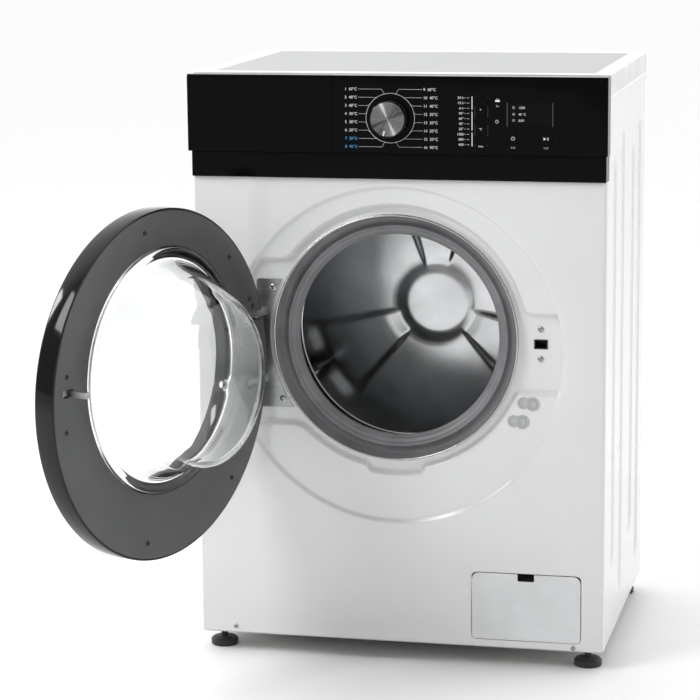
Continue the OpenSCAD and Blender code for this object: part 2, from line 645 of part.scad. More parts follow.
module dampers() color(dark_grey) for (side = [-1, 1])
  translate([axis_x + side * 205, 20, 56]) rotate([0, side * -16, 0]) {
    cylinder(r = 14, h = 100);
    translate([0, 0, 100]) cylinder(r = 8, h = 104);
    rotate([90, 0, 0]) translate([0, 0, -12]) cylinder(r = 9, h = 24);
  }

module motor() color(steel) {
  difference() {
    rod_y(motor_x, motor_z, 62, pulley_y - 150, pulley_y - 24);
    for (a = [0 : 30 : 330]) translate([motor_x, 0, motor_z]) rotate([0, -a, 0])
      box([44, pulley_y - 140, -4], [64, pulley_y - 34, 4]);
  }
  rod_y(motor_x, motor_z, 18, pulley_y - 24, pulley_y - 14);
}

module motor_pulley() color(steel) difference() {
  union() {
    rod_y(motor_x, motor_z, motor_pulley_d / 2, pulley_y - 10, pulley_y + 10);
    rod_y(motor_x, motor_z, motor_pulley_d / 2 + 2, pulley_y - 12, pulley_y - 10);
    rod_y(motor_x, motor_z, motor_pulley_d / 2 + 2, pulley_y + 10, pulley_y + 12);
  }
  rod_y(motor_x, motor_z, 4, pulley_y + 2, pulley_y + 13);
}

// Outline of a belt lying round both pulleys, grown outwards by a given amount
function arc(c, r, a0, a1, n) = [for (i = [0 : n]) let (a = a0 + (a1 - a0) * i / n)
  [c[0] + r * cos(a), c[1] + r * sin(a)]];

module belt_outline(grow) {
  big = pulley_d / 2 + grow;
  small = motor_pulley_d / 2 + grow;
  away = [motor_x - axis_x, motor_z - drum_z];
  wrap = acos((big - small) / norm(away));
  along = atan2(away[1], away[0]);
  polygon(concat(arc([axis_x, drum_z], big, along + wrap, along + 360 - wrap, 72),
    arc([motor_x, motor_z], small, along - wrap, along + wrap, 18)));
}

module drive_belt() color(gloss_black) plate_y(pulley_y - 8, pulley_y + 8) difference() {
  belt_outline(4);
  belt_outline(0.6);
}

module drum_pulley() color([0.75, 0.75, 0.77]) {
  turned([[pulley_d / 2 - 5, pulley_y - 10], [pulley_d / 2, pulley_y - 10],
    [pulley_d / 2, pulley_y + 10], [pulley_d / 2 - 5, pulley_y + 10]]);
  difference() {
    union() {
      rod_y(axis_x, drum_z, 24, pulley_y - 8, pulley_y + 8);
      for (a = [0 : 60 : 300]) translate([axis_x, 0, drum_z]) rotate([0, -a, 0])
        box([20, pulley_y - 4, -9], [pulley_d / 2 - 4, pulley_y + 4, 9]);
    }
    rod_y(axis_x, drum_z, shaft_r, pulley_y - 9, pulley_y + 9);
  }
}

drum_mouth = open_r - 24;

module drum_shell() color([0.78, 0.79, 0.8]) turned([[drum_mouth, drum_y0 - 4], [drum_mouth + 3, drum_y0 - 6],
  [drum_mouth + 8, drum_y0 - 3], [drum_r - 8, drum_y0], [drum_r, drum_y0 + 7], [drum_r, drum_y1],
  [0, drum_y1], [0, drum_y1 - 1.2], [drum_r - 1.2, drum_y1 - 1.2], [drum_r - 1.2, drum_y0 + 7.5],
  [drum_r - 8.5, drum_y0 + 1.2], [drum_mouth + 8, drum_y0 - 1.8], [drum_mouth + 3, drum_y0 - 4.6],
  [drum_mouth + 1.2, drum_y0 - 3]]);

module drum_paddles() color([0.85, 0.85, 0.86]) for (a = [90, 210, 330])
  translate([axis_x, 0, drum_z]) rotate([0, -a, 0]) difference() {
    translate([drum_r - 1.3, drum_y0 + 16, 0]) rotate([-90, 0, 0])
      linear_extrude(drum_len - 30) polygon([[-2.5, -26], [-14, -17], [-50, -7], [-55, 0], [-50, 7],
        [-14, 17], [-2.5, 26]]);
    translate([drum_r - 1.3, drum_y0 + 19, 0]) rotate([-90, 0, 0])
      linear_extrude(drum_len - 36) polygon([[0, -20], [-14, -13.5], [-47, -4.5], [-51, 0], [-47, 4.5],
        [-14, 13.5], [0, 20]]);
  }

module drum_spider() color([0.7, 0.7, 0.72]) {
  rod_y(axis_x, drum_z, shaft_r, drum_y1 + 9, pulley_y + 8);
  turned([[0, drum_y1], [32, drum_y1], [24, drum_y1 + 10.5], [0, drum_y1 + 10.5]]);
  for (a = [30, 150, 270]) translate([axis_x, 0, drum_z]) rotate([0, -a, 0]) difference() {
    box([16, drum_y1, -14], [drum_r - 4, drum_y1 + 10, 14]);
    box([34, drum_y1 + 3, -10], [drum_r - 12, drum_y1 + 11, -2]);
    box([34, drum_y1 + 3, 2], [drum_r - 12, drum_y1 + 11, 10]);
  }
}

// ---- water ---------------------------------------------------------------------------------

module pump_filter_housing() color(plastic_grey) difference() {
  union() {
    rod_y(filter_x, filter_z, 36, yf + 3, yf + 110);
    box([filter_x + 30, yf + 30, filter_z - 12], [filter_x + 60, yf + 54, filter_z + 12]);
  }
  rod_y(filter_x, filter_z, 32, yf + 2, yf + 104);
}

module pump_filter_cap() color(dark_grey) {
  difference() {
    rod_y(filter_x, filter_z, 31.7, yf + 5, yf + 15);
    rod_y(filter_x, filter_z, 28, yf + 4, yf + 12);
  }
  box([filter_x - 27.5, yf + 5, filter_z - 3], [filter_x + 27.5, yf + 12, filter_z + 3]);
  difference() {
    rod_y(filter_x, filter_z, 24, yf + 15, yf + 80);
    rod_y(filter_x, filter_z, 21, yf + 18, yf + 81);
    for (a = [0 : 45 : 315]) translate([filter_x, 0, filter_z]) rotate([0, -a, 0])
      box([15, yf + 26, -5], [30, yf + 72, 5]);
  }
}

// The flap's lower corners are tighter, so that they clear the panel as the flap turns down
module flap_outline(grow, low_r) {
  round_rect(flap[0] - grow, flap[1] + 30, flap[2] + grow, flap[3] + grow, 10 + grow);
  round_rect(flap[0] - grow, flap[1] - grow, flap[2] + grow, flap[3] - 30, low_r);
}

flap_hinge = [yf + 1.2, flap[1] + 2.5];         // y and z of the flap's hinge line

module filter_flap() color(white) difference() {
  union() {
    plate_y(yf - 0.6, yf + 1.4) flap_outline(0, 6);
    for (x = [flap[0] + 24, flap[2] - 44])
      translate([x, flap_hinge[0], flap_hinge[1]]) rotate([0, 90, 0]) cylinder(r = 1.6, h = 20);
  }
  plate_y(yf - 3, yf + 2) round_rect(filter_x - 12, flap[3] - 10.5, filter_x + 12, flap[3] + 8, 2);
}

module drain_pump() color(dark_grey) {
  rod_y(filter_x - 10, filter_z, 26, yf + 110, yf + 175);
  rod_y(filter_x, filter_z, 12, yf + 175, yf + 195);
}

module water_hoses() color([0.16, 0.16, 0.17]) {
  hose(smooth([[70, -60, 214], [70, -60, 196], [80, -75, 172], [110, -110, 156], [150, -138, 152],
    [178, -150, 146], [185, -152, 134], [185, -152, 124.5]]), 12);
  hose(smooth([[246, yf + 42, filter_z], [256, yf + 44, filter_z], [268, yf + 60, 92], [274, yf + 110, 110],
    [276, -40, 150], [277, 60, 220], [278, 140, 330], [274, 178, 470], [262, 178, 560],
    [250, 178, 612], [246, 186, 632], [245, 200, 640], [245, yb - 11, 640]]), 9);
  hose(smooth([[-170, tray_back + 6, tray_z[0] - 7], [-170, tray_back + 6, tray_z[0] - 15],
    [-176, tray_back - 14, 706], [-182, -30, 694], [-184, 5, 690], [-184, 18, 686],
    [-184, 20, 680]]), 12);
}

module water_connections() color([0.85, 0.85, 0.88]) {
  rod_y(valve[0], valve[1], 13.2, yb - 1, yb + 14);
  rod_y(valve[0], valve[1], 16.4, yb - 8, yb - 1);
  box([valve[0] - 16, yb - 40, valve[1] - 16], [valve[0] + 16, yb - 8, valve[1] + 16]);
  rod_z(valve[0], yb - 24, 9, valve[1] + 16, valve[1] + 34);
  rod_y(valve[0], valve[1], 6, tray_back + 20, yb - 40);
  difference() {
    rod_y(drain[0], drain[1], 12, yb - 10, yb);
    rod_y(drain[0], drain[1], 7, yb - 9, yb + 1);
  }
  difference() {
    rod_y(drain[0], drain[1], 10, yb, yb + 14);
    rod_y(drain[0], drain[1], 7, yb - 1, yb + 15);
  }
}

// ---- feet ----------------------------------------------------------------------------------

module foot(x, y) color([0.05, 0.05, 0.05]) translate([x, y, 0]) rotate_extrude()
  polygon([[0, 0], [18.5, 0], [20, 1.5], [20, 8], [17, 11], [8, 12], [5, 12], [5, 46], [0, 46]]);

module foot_front_left() foot(-foot_x, foot_y[0]);
module foot_front_right() foot(foot_x, foot_y[0]);
module foot_rear_left() foot(-foot_x, foot_y[1]);
module foot_rear_right() foot(foot_x, foot_y[1]);

module foot_lock_nuts() color(steel) for (x = [-foot_x, foot_x], y = foot_y)
  translate([x, y, foot_gap - 6]) difference() {
    cylinder(r = 9.8, h = 6, $fn = 6);
    translate([0, 0, -1]) cylinder(r = 5.08, h = 8);
  }

base_frame();
side_panel_left();
side_panel_right();
rear_panel();
rear_service_cover();
cabinet_screws();
transit_bolt_caps();
cable_gland();
worktop_frame();
worktop_panel();
front_panel();
front_crossbar();
control_fascia();
fascia_lower_strip();
display_window();
control_board();
door_lock();
hinge_plate();
gasket();
gasket_clamp();
tub_front();
tub_rear();
counterweights();
bearings();
shaft_seal();
heater();
suspension_springs();
dampers();
motor();
drive_belt();
drain_pump();
pump_filter_housing();
water_hoses();
water_connections();
dispenser_housing();
foot_lock_nuts();
door_outer_ring();
door_inner_ring();
door_glass();
door_screws();
hinge_pins();
latch_hook();
drum_shell();
drum_paddles();
drum_spider();
drum_pulley();
motor_pulley();
programme_knob();
button_temp();
button_spin();
button_delay();
button_power();
button_start();
detergent_drawer();
filter_flap();
pump_filter_cap();
foot_front_left();
foot_front_right();
foot_rear_left();
foot_rear_right();
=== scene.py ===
# %% [markdown]
# A slim front load washing machine, standing with its door open.
# The CAD model already holds every size, every piece and every joint of the machine. This file
# only dresses it: it keeps the plain parts as they are and gives them real finishes, and it builds
# finer skins for the parts that people look at, such as the pressed front, the door and the drum.
# The first lines open the model and keep its outer box, which the dressed machine has to fit.

# %% Open the machine
import bmesh
import bpy
import json
import math
import numpy as np
from mathutils import Matrix, Vector, geometry


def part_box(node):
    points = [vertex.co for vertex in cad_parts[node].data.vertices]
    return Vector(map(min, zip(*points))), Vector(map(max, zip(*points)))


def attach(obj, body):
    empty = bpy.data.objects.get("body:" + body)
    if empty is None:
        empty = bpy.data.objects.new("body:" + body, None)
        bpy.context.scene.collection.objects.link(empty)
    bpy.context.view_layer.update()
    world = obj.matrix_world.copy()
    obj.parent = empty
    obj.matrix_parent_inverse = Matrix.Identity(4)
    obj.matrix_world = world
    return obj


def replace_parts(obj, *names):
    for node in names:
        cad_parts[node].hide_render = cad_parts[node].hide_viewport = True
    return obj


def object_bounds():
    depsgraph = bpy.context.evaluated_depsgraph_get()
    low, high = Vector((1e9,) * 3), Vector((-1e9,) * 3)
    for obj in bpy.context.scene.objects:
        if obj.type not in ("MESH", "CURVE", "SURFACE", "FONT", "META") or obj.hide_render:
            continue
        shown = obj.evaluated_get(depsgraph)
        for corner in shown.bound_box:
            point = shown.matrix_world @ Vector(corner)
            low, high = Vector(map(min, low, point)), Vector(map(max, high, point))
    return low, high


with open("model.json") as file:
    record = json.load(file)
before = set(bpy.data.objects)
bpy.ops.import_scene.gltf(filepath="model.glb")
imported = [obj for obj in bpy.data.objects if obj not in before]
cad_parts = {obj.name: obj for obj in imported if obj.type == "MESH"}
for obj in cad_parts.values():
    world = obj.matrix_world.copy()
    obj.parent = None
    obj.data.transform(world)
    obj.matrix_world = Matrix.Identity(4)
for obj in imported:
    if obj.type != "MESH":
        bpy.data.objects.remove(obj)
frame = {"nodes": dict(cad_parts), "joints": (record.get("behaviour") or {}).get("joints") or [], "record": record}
bpy.context.view_layer.update()
cad_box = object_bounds()
nodes = frame["nodes"]
slot_of = {part["node"]: part["material_slot"] for part in frame["record"]["subparts"]}
print("pieces", len(nodes), "box", [round(c, 3) for corner in cad_box for c in corner])

# %% [markdown]
# The camera comes before anything else. A long lens from slightly above and to the right of the
# machine keeps its upright edges almost parallel, the way appliances are usually shown. Giving the
# view as three turns, yaw, pitch and roll, makes each of them easy to change on its own.

# %% Place the camera
LENS = 131.84
EYE = Vector((0.7403, -3.7037, 1.1306))
YAW, PITCH, ROLL = (math.radians(a) for a in (-13.077, -10.722, -0.578))


def facing(yaw, pitch, roll):
    """Axes of a camera that looks along +Y before it is turned."""
    ahead = Vector((math.sin(yaw) * math.cos(pitch), math.cos(yaw) * math.cos(pitch), math.sin(pitch)))
    right = Vector((math.cos(yaw), -math.sin(yaw), 0))
    up = right.cross(ahead)
    right, up = (
        right * math.cos(roll) + up * math.sin(roll),
        up * math.cos(roll) - right * math.sin(roll),
    )
    return Matrix((right, up, -ahead)).transposed().to_4x4()


lens = bpy.data.cameras.new("camera")
lens.lens = LENS
lens.clip_end = 200
camera = bpy.data.objects.new("camera", lens)
camera.matrix_world = Matrix.Translation(EYE) @ facing(YAW, PITCH, ROLL)
bpy.context.scene.collection.objects.link(camera)
bpy.context.scene.camera = camera
print("camera at", tuple(EYE))

# %% [markdown]
# The light is a white backdrop that fades to a dim room in front of the machine, as in a studio.
# White enamel only shows its pressed shapes when the light is uneven, so the strongest box hangs
# above and to the left, and weaker ones fill the right side and the top. The dim room keeps the
# glossy black parts black, and a narrow tall box draws one bright streak on the black rim of the door.

# %% Light the studio
BACKDROP = 1.45
ROOM = 0.36

world = bpy.data.worlds.new("studio")
world.use_nodes = True
sky = world.node_tree
direction = sky.nodes.new("ShaderNodeTexCoord")
split = sky.nodes.new("ShaderNodeSeparateXYZ")
fade = sky.nodes.new("ShaderNodeMapRange")
fade.interpolation_type = "SMOOTHSTEP"
for socket, value in (("From Min", -0.35), ("From Max", 0.15), ("To Min", ROOM), ("To Max", BACKDROP)):
    fade.inputs[socket].default_value = value
sky.links.new(direction.outputs["Generated"], split.inputs["Vector"])
sky.links.new(split.outputs["Y"], fade.inputs["Value"])
sky.links.new(fade.outputs["Result"], sky.nodes["Background"].inputs["Strength"])
sky.nodes["Background"].inputs["Color"].default_value = (1, 1, 1, 1)
bpy.context.scene.world = world
bpy.context.scene.view_settings.view_transform = "Standard"


def soft_box(name, place, target, width, height, watts):
    light = bpy.data.lights.new(name, "AREA")
    light.shape = "RECTANGLE"
    light.size, light.size_y = width, height
    light.energy = watts
    lamp = bpy.data.objects.new(name, light)
    lamp.location = place
    lamp.rotation_euler = (Vector(target) - Vector(place)).to_track_quat("-Z", "Y").to_euler()
    bpy.context.scene.collection.objects.link(lamp)


middle = (cad_box[0] + cad_box[1]) / 2
soft_box("key", (-2.2, -2.6, 3.4), middle, 1.6, 1.6, 74)
soft_box("fill", (3.6, -1.2, 2.2), middle, 2.0, 2.4, 3)
soft_box("top", (0.2, 0.4, 3.6), middle, 2.4, 2.4, 4)
soft_box("streak", (-2.6, -0.9, 2.3), (-0.4, -0.4, 0.6), 0.5, 0.8, 22)
print("lights", len(bpy.data.lights))

# %% [markdown]
# Finishes come next. Each one is a small set of shader nodes: a grain that says where the surface
# changes, a relief that makes it catch light, and a little change in colour or roughness.
# All grains use the model's own coordinates in metres, so a scale of 1000 gives one millimetre.
# The helpers below keep each finish down to a few readable lines.

# %% Helpers for finishes
def plain(name, colour, roughness, metallic=0.0, **sockets):
    """A new finish and its shader, with numbers set straight on the shader's own sockets."""
    made = bpy.data.materials.new(name)
    made.use_nodes = True
    shader = made.node_tree.nodes["Principled BSDF"]
    shader.inputs["Base Color"].default_value = (*colour, 1)
    shader.inputs["Roughness"].default_value = roughness
    shader.inputs["Metallic"].default_value = metallic
    for socket, value in sockets.items():
        shader.inputs[socket.replace("_", " ")].default_value = value
    return made, made.node_tree, shader


def grain(tree, scale, stretch=(1, 1, 1), detail=3.0, cells=False):
    """A noise or cell pattern in the model's own coordinates."""
    where = tree.nodes.new("ShaderNodeTexCoord")
    mapping = tree.nodes.new("ShaderNodeMapping")
    mapping.inputs["Scale"].default_value = stretch
    pattern = tree.nodes.new("ShaderNodeTexVoronoi" if cells else "ShaderNodeTexNoise")
    pattern.inputs["Scale"].default_value = scale
    if not cells:
        pattern.inputs["Detail"].default_value = detail
    tree.links.new(where.outputs["Object"], mapping.inputs["Vector"])
    tree.links.new(mapping.outputs["Vector"], pattern.inputs["Vector"])
    return pattern.outputs["Color" if cells else "Fac"]


def relief(tree, shader, height, depth, strength=1.0):
    """Raises the surface by a pattern; depth is in metres. A second call adds to the first."""
    bump = tree.nodes.new("ShaderNodeBump")
    bump.inputs["Distance"].default_value = depth
    bump.inputs["Strength"].default_value = strength
    if shader.inputs["Normal"].links:
        tree.links.new(shader.inputs["Normal"].links[0].from_socket, bump.inputs["Normal"])
    tree.links.new(height, bump.inputs["Height"])
    tree.links.new(bump.outputs["Normal"], shader.inputs["Normal"])


def tint(tree, shader, pattern, dark, light, low=0.35, high=0.65):
    """Colours a surface between two shades by a pattern."""
    ramp = tree.nodes.new("ShaderNodeValToRGB")
    ramp.color_ramp.elements[0].position = low
    ramp.color_ramp.elements[0].color = (*dark, 1)
    ramp.color_ramp.elements[1].position = high
    ramp.color_ramp.elements[1].color = (*light, 1)
    tree.links.new(pattern, ramp.inputs["Fac"])
    tree.links.new(ramp.outputs["Color"], shader.inputs["Base Color"])


def polish(tree, shader, pattern, smooth, dull):
    """Lets a pattern move the roughness between two values."""
    span = tree.nodes.new("ShaderNodeMapRange")
    span.inputs["To Min"].default_value = smooth
    span.inputs["To Max"].default_value = dull
    tree.links.new(pattern, span.inputs["Value"])
    tree.links.new(span.outputs["Result"], shader.inputs["Roughness"])


print("finish helpers ready")

# %% [markdown]
# The cabinet is sheet steel under baked enamel. Enamel levels itself almost flat but keeps a faint
# orange peel of a millimetre or two, and a thin clear top that mirrors softly. The worktop is a white
# laminate with a dry speckled feel, darkened to a mid grey as painted shade, and the plastics have the sandy grain
# of a moulding tool.

# %% White and plastic finishes
def enamel():
    made, tree, shader = plain("white_enamel", (0.76, 0.765, 0.77), 0.22, Coat_Weight=0.7)
    shader.inputs["Coat Roughness"].default_value = 0.04
    relief(tree, shader, grain(tree, 520), 0.00006, 0.35)
    tint(tree, shader, grain(tree, 5), (0.745, 0.75, 0.755), (0.775, 0.78, 0.785))
    polish(tree, shader, grain(tree, 9, detail=6), 0.16, 0.3)
    return made


def laminate():
    # Painted shade: the white laminate is coloured mid grey so the worktop looks less lit than the front.
    made, tree, shader = plain("worktop_laminate", (0.37, 0.375, 0.38), 0.42)
    relief(tree, shader, grain(tree, 1500), 0.00005, 0.5)
    tint(tree, shader, grain(tree, 900, detail=2), (0.35, 0.355, 0.36), (0.39, 0.395, 0.4))
    return made


def moulding(name, colour, roughness, sand=1800, depth=0.00006):
    """Moulded plastic: a sandy tool grain, slow colour drift and rubbed patches."""
    made, tree, shader = plain(name, colour, roughness)
    relief(tree, shader, grain(tree, sand, detail=2), depth, 0.6)
    darker = tuple(c * 0.88 for c in colour)
    tint(tree, shader, grain(tree, 14), darker, colour)
    polish(tree, shader, grain(tree, 30, detail=5), roughness * 0.85, min(1, roughness * 1.2))
    return made


def rubber(name, colour, roughness):
    """Vulcanised rubber: dull, with a chalky bloom in broad patches and a few flow lines."""
    made, tree, shader = plain(name, colour, roughness, Sheen_Weight=0.12)
    relief(tree, shader, grain(tree, 1300, detail=4), 0.00008, 0.5)
    relief(tree, shader, grain(tree, 60, stretch=(1, 6, 1)), 0.0002, 0.25)
    bloom = tuple(min(1, c * 1.25 + 0.01) for c in colour)
    tint(tree, shader, grain(tree, 22, detail=6), colour, bloom)
    return made


def gloss(name, colour, roughness, shine=0.3):
    """Piano black: a deep base under a clear coat with faint wiping marks."""
    made, tree, shader = plain(name, colour, roughness, Specular_IOR_Level=shine, Coat_Weight=shine / 2)
    shader.inputs["Coat Roughness"].default_value = 0.03
    shader.inputs["Coat IOR"].default_value = 1.35
    polish(tree, shader, grain(tree, 24, stretch=(1, 1, 5), detail=8), roughness * 0.6, roughness * 1.7)
    relief(tree, shader, grain(tree, 90), 0.00003, 0.2)
    return made


def circuit():
    made, tree, shader = plain("circuit_board", (0.03, 0.16, 0.07), 0.4)
    tint(tree, shader, grain(tree, 260, stretch=(1, 1, 3), cells=True), (0.02, 0.12, 0.05), (0.07, 0.3, 0.14))
    relief(tree, shader, grain(tree, 700), 0.0001, 0.5)
    return made


print("white and plastic finishes ready")

# %% [markdown]
# Metals differ in how they were made. Galvanised sheet grows zinc crystals a centimetre wide,
# rolled or turned steel has fine lines one way, and castings are rough and patchy.
# One function with a few numbers covers the lined metals, and the rest get their own.

# %% Metal and stone finishes
def lined_metal(name, colour, roughness, lines=(1, 30, 1), scale=40, depth=0.00003):
    """Metal with fine lines across the stretched direction."""
    made, tree, shader = plain(name, colour, roughness, 1.0)
    streaks = grain(tree, scale, stretch=lines, detail=6)
    relief(tree, shader, streaks, depth, 0.5)
    tint(tree, shader, streaks, tuple(c * 0.84 for c in colour), colour)
    polish(tree, shader, grain(tree, 18, detail=5), roughness * 0.75, roughness * 1.3)
    return made


def galvanised():
    made, tree, shader = plain("galvanised_steel", (0.62, 0.64, 0.66), 0.42, 1.0)
    spangle = grain(tree, 95, cells=True)
    tint(tree, shader, spangle, (0.52, 0.54, 0.56), (0.7, 0.72, 0.74), 0.1, 0.9)
    polish(tree, shader, spangle, 0.32, 0.55)
    relief(tree, shader, grain(tree, 400), 0.00004, 0.4)
    return made


def casting(name, colour, roughness, metallic, pits=240):
    made, tree, shader = plain(name, colour, roughness, metallic)
    relief(tree, shader, grain(tree, pits, detail=8), 0.0005, 0.6)
    tint(tree, shader, grain(tree, pits * 0.4, detail=8), tuple(c * 0.75 for c in colour), colour)
    return made


def spun_metal():
    """The knob's face: polished metal, whose turned grooves split the light into fans."""
    made, tree, shader = plain("knob_metal", (0.2, 0.203, 0.207), 0.14, 1.0)
    polish(tree, shader, grain(tree, 300, detail=4), 0.12, 0.22)
    return made


def clear(name, colour, roughness):
    made, tree, shader = plain(name, colour, roughness, Transmission_Weight=1.0, IOR=1.5)
    relief(tree, shader, grain(tree, 25), 0.0003, 0.12)
    polish(tree, shader, grain(tree, 40, detail=6), roughness * 0.4, roughness + 0.01)
    return made


print("metal and stone finishes ready")

# %% [markdown]
# Every piece of the model names the finish it wants, so one table from that name to a finish is
# enough to dress them all. Pieces built later in this file take their finish from the same table.

# %% Mix the finishes
FINISHES = {
    "white_enamel": enamel(),
    "worktop_laminate": laminate(),
    "white_plastic": moulding("white_plastic", (0.8, 0.81, 0.82), 0.36),
    "grey_plastic": moulding("grey_plastic", (0.62, 0.62, 0.6), 0.5),
    "black_plastic": moulding("black_plastic", (0.02, 0.02, 0.022), 0.42),
    "cap_grey": moulding("cap_grey", (0.16, 0.165, 0.175), 0.48),
    "door_grey": moulding("door_grey", (0.085, 0.087, 0.09), 0.4, sand=2600, depth=0.00003),
    "gloss_black": gloss("gloss_black", (0.003, 0.003, 0.0035), 0.08),
    "smoked_window": gloss("smoked_window", (0.004, 0.004, 0.005), 0.05, 0.06),
    "circuit_board": circuit(),
    "seal_rubber": rubber("seal_rubber", (0.19, 0.193, 0.2), 0.42),
    "black_rubber": rubber("black_rubber", (0.014, 0.014, 0.015), 0.6),
    "galvanised_steel": galvanised(),
    "zinc_fastener": lined_metal("zinc_fastener", (0.52, 0.52, 0.51), 0.22, scale=120),
    "hinge_steel": lined_metal("hinge_steel", (0.46, 0.47, 0.48), 0.36, lines=(1, 1, 12)),
    "spring_steel": lined_metal("spring_steel", (0.35, 0.36, 0.38), 0.35),
    "motor_metal": lined_metal("motor_metal", (0.55, 0.56, 0.58), 0.4),
    "drum_steel": lined_metal("drum_steel", (0.66, 0.67, 0.68), 0.2, lines=(1, 24, 1), scale=24),
    "cast_aluminium": casting("cast_aluminium", (0.6, 0.61, 0.62), 0.5, 1.0),
    "cast_weight": casting("cast_weight", (0.42, 0.42, 0.4), 0.9, 0.0, pits=160),
    "knob_metal": spun_metal(),
    "door_glass": clear("door_glass", (0.97, 0.985, 0.98), 0.012),
}
INK = plain("white_ink", (0.82, 0.83, 0.84), 0.5)[0]
BLUE_INK = plain("blue_ink", (0.1, 0.38, 0.72), 0.5)[0]
FAINT_INK = plain("faint_ink", (0.1, 0.1, 0.105), 0.35)[0]
PANEL_BLACK = gloss("panel_black", (0.0025, 0.0025, 0.003), 0.1, 0.06)
GREY_PLUG = moulding("clear_plug", (0.5, 0.51, 0.52), 0.12)
print("finishes", len(FINISHES))

# %% [markdown]
# A few building helpers follow. A piece is a list of corners and a list of faces, both worked out
# with simple rules, so a person can read what shape it makes. Most of the machine's front is made
# of circles that are not always on the same centre, and one helper joins any row of circles.

# %% Helpers for building pieces
def piece(name, corners, faces, slot, body, finish=None, crease=35):
    """A mesh piece in the machine's frame that rides on a body and takes a finish by its slot."""
    mesh = bpy.data.meshes.new(name)
    mesh.from_pydata([tuple(float(c) for c in p) for p in corners], [], [tuple(f) for f in faces])
    shape = bmesh.new()
    shape.from_mesh(mesh)
    bmesh.ops.recalc_face_normals(shape, faces=shape.faces)
    shape.to_mesh(mesh)
    shape.free()
    mesh.shade_smooth()
    mesh.set_sharp_from_angle(angle=math.radians(crease))
    mesh.materials.append(finish or FINISHES[slot])
    made = bpy.data.objects.new(name, mesh)
    bpy.context.scene.collection.objects.link(made)
    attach(made, body)
    return made


def grid_faces(rows, across, wrap=True):
    """Faces between neighbouring rows of corners; a wrapped row closes on itself."""
    return [
        (i * across + k, i * across + (k + 1) % across,
         (i + 1) * across + (k + 1) % across, (i + 1) * across + k)
        for i in range(rows - 1)
        for k in range(across if wrap else across - 1)
    ]


def circles(rows, steps, closed=True):
    """Corners and faces of a skin through circles (centre x, centre z, radius, y)."""
    turn = [2 * math.pi * k / steps for k in range(steps)]
    corners = [(x + r * math.cos(a), y, z + r * math.sin(a)) for x, z, r, y in rows for a in turn]
    faces = grid_faces(len(rows), steps)
    if closed:
        last = (len(rows) - 1) * steps
        faces += [(last + k, last + (k + 1) % steps, (k + 1) % steps, k) for k in range(steps)]
    return corners, faces


def joined(*parts):
    """Several (corners, faces) lists as one."""
    corners, faces = [], []
    for part_corners, part_faces in parts:
        start = len(corners)
        corners += list(part_corners)
        faces += [tuple(start + i for i in face) for face in part_faces]
    return corners, faces


def rounded_path(points, radius, steps=5):
    """A closed outline whose corners are rounded off by up to radius."""
    made = []
    for i, point in enumerate(points):
        here, before, after = (Vector(points[j % len(points)]) for j in (i, i - 1, i + 1))
        back, ahead = before - here, after - here
        reach_in = min(radius, back.length * 0.45)
        reach_out = min(radius, ahead.length * 0.45)
        start = here + back.normalized() * reach_in
        end = here + ahead.normalized() * reach_out
        for s in range(steps + 1):
            t = s / steps
            made.append(tuple(start * (1 - t) ** 2 + here * 2 * t * (1 - t) + end * t * t))
    return made


def bake(made):
    """Turns an object's modifiers into its mesh."""
    bpy.context.view_layer.update()
    shown = made.evaluated_get(bpy.context.evaluated_depsgraph_get())
    mesh = bpy.data.meshes.new_from_object(shown)
    made.modifiers.clear()
    made.data = mesh


def carve(made, boxes):
    """Cuts boxes (low corner, high corner) out of a closed piece."""
    corner_order = [(x, y, z) for z in (0, 1) for x, y in ((0, 0), (1, 0), (1, 1), (0, 1))]
    sides = [(0, 3, 2, 1), (4, 5, 6, 7), (0, 1, 5, 4), (1, 2, 6, 5), (2, 3, 7, 6), (3, 0, 4, 7)]
    parts = [
        ([[(low, high)[pick][axis] for axis, pick in enumerate(order)] for order in corner_order], sides)
        for low, high in boxes
    ]
    corners, faces = joined(*parts)
    mesh = bpy.data.meshes.new("cutter")
    mesh.from_pydata(corners, [], faces)
    cutter = bpy.data.objects.new("cutter", mesh)
    bpy.context.scene.collection.objects.link(cutter)
    cut = made.modifiers.new("cut", "BOOLEAN")
    cut.operation, cut.object, cut.solver = "DIFFERENCE", cutter, "EXACT"
    bake(made)
    bpy.data.objects.remove(cutter)
    made.data.set_sharp_from_angle(angle=math.radians(35))


def ease(t):
    """Rises smoothly from 0 to 1 as t does."""
    t = np.clip(t, 0, 1)
    return t * t * (3 - 2 * t)


print("building helpers ready")

# %% [markdown]
# Plain parts keep their CAD shape. Real edges are never perfectly sharp, so each part gets a weld,
# a narrow bevel and evened normals as modifiers, and then its finish. The bevel is wide on the
# worktop's soft rim, narrow on small parts, and left out where a part is already smooth.

# %% Dress the CAD parts
EDGE = 0.0004
WIDE_EDGES = {"worktop_frame": 0.0022, "fascia_lower_strip": 0.0012, "counterweights": 0.003,
              "rear_service_cover": 0.0008, "base_frame": 0.0008, "filter_flap": 0.0006}
NO_EDGES = {"water_hoses", "suspension_springs", "drive_belt", "bearings", "gasket_clamp"}

PANEL_NODES = {"control_fascia", "fascia_lower_strip", "detergent_drawer", "button_temp", "button_spin",
               "button_delay", "button_power", "button_start"}
for name, part in nodes.items():
    part.data.materials.clear()
    part.data.materials.append(PANEL_BLACK if name in PANEL_NODES else FINISHES[slot_of[name]])
    for normals in [a for a in part.data.attributes if a.name == "custom_normal"]:
        part.data.attributes.remove(normals)
    part.data.shade_smooth()
    weld = part.modifiers.new("weld", "WELD")
    weld.merge_threshold = 0.00001
    if name not in NO_EDGES:
        bevel = part.modifiers.new("edge", "BEVEL")
        bevel.width = WIDE_EDGES.get(name, EDGE)
        bevel.segments = 2
        bevel.limit_method = "ANGLE"
        bevel.angle_limit = math.radians(38)
        even = part.modifiers.new("even", "WEIGHTED_NORMAL")
        even.weight = 50
print("dressed", len(nodes))

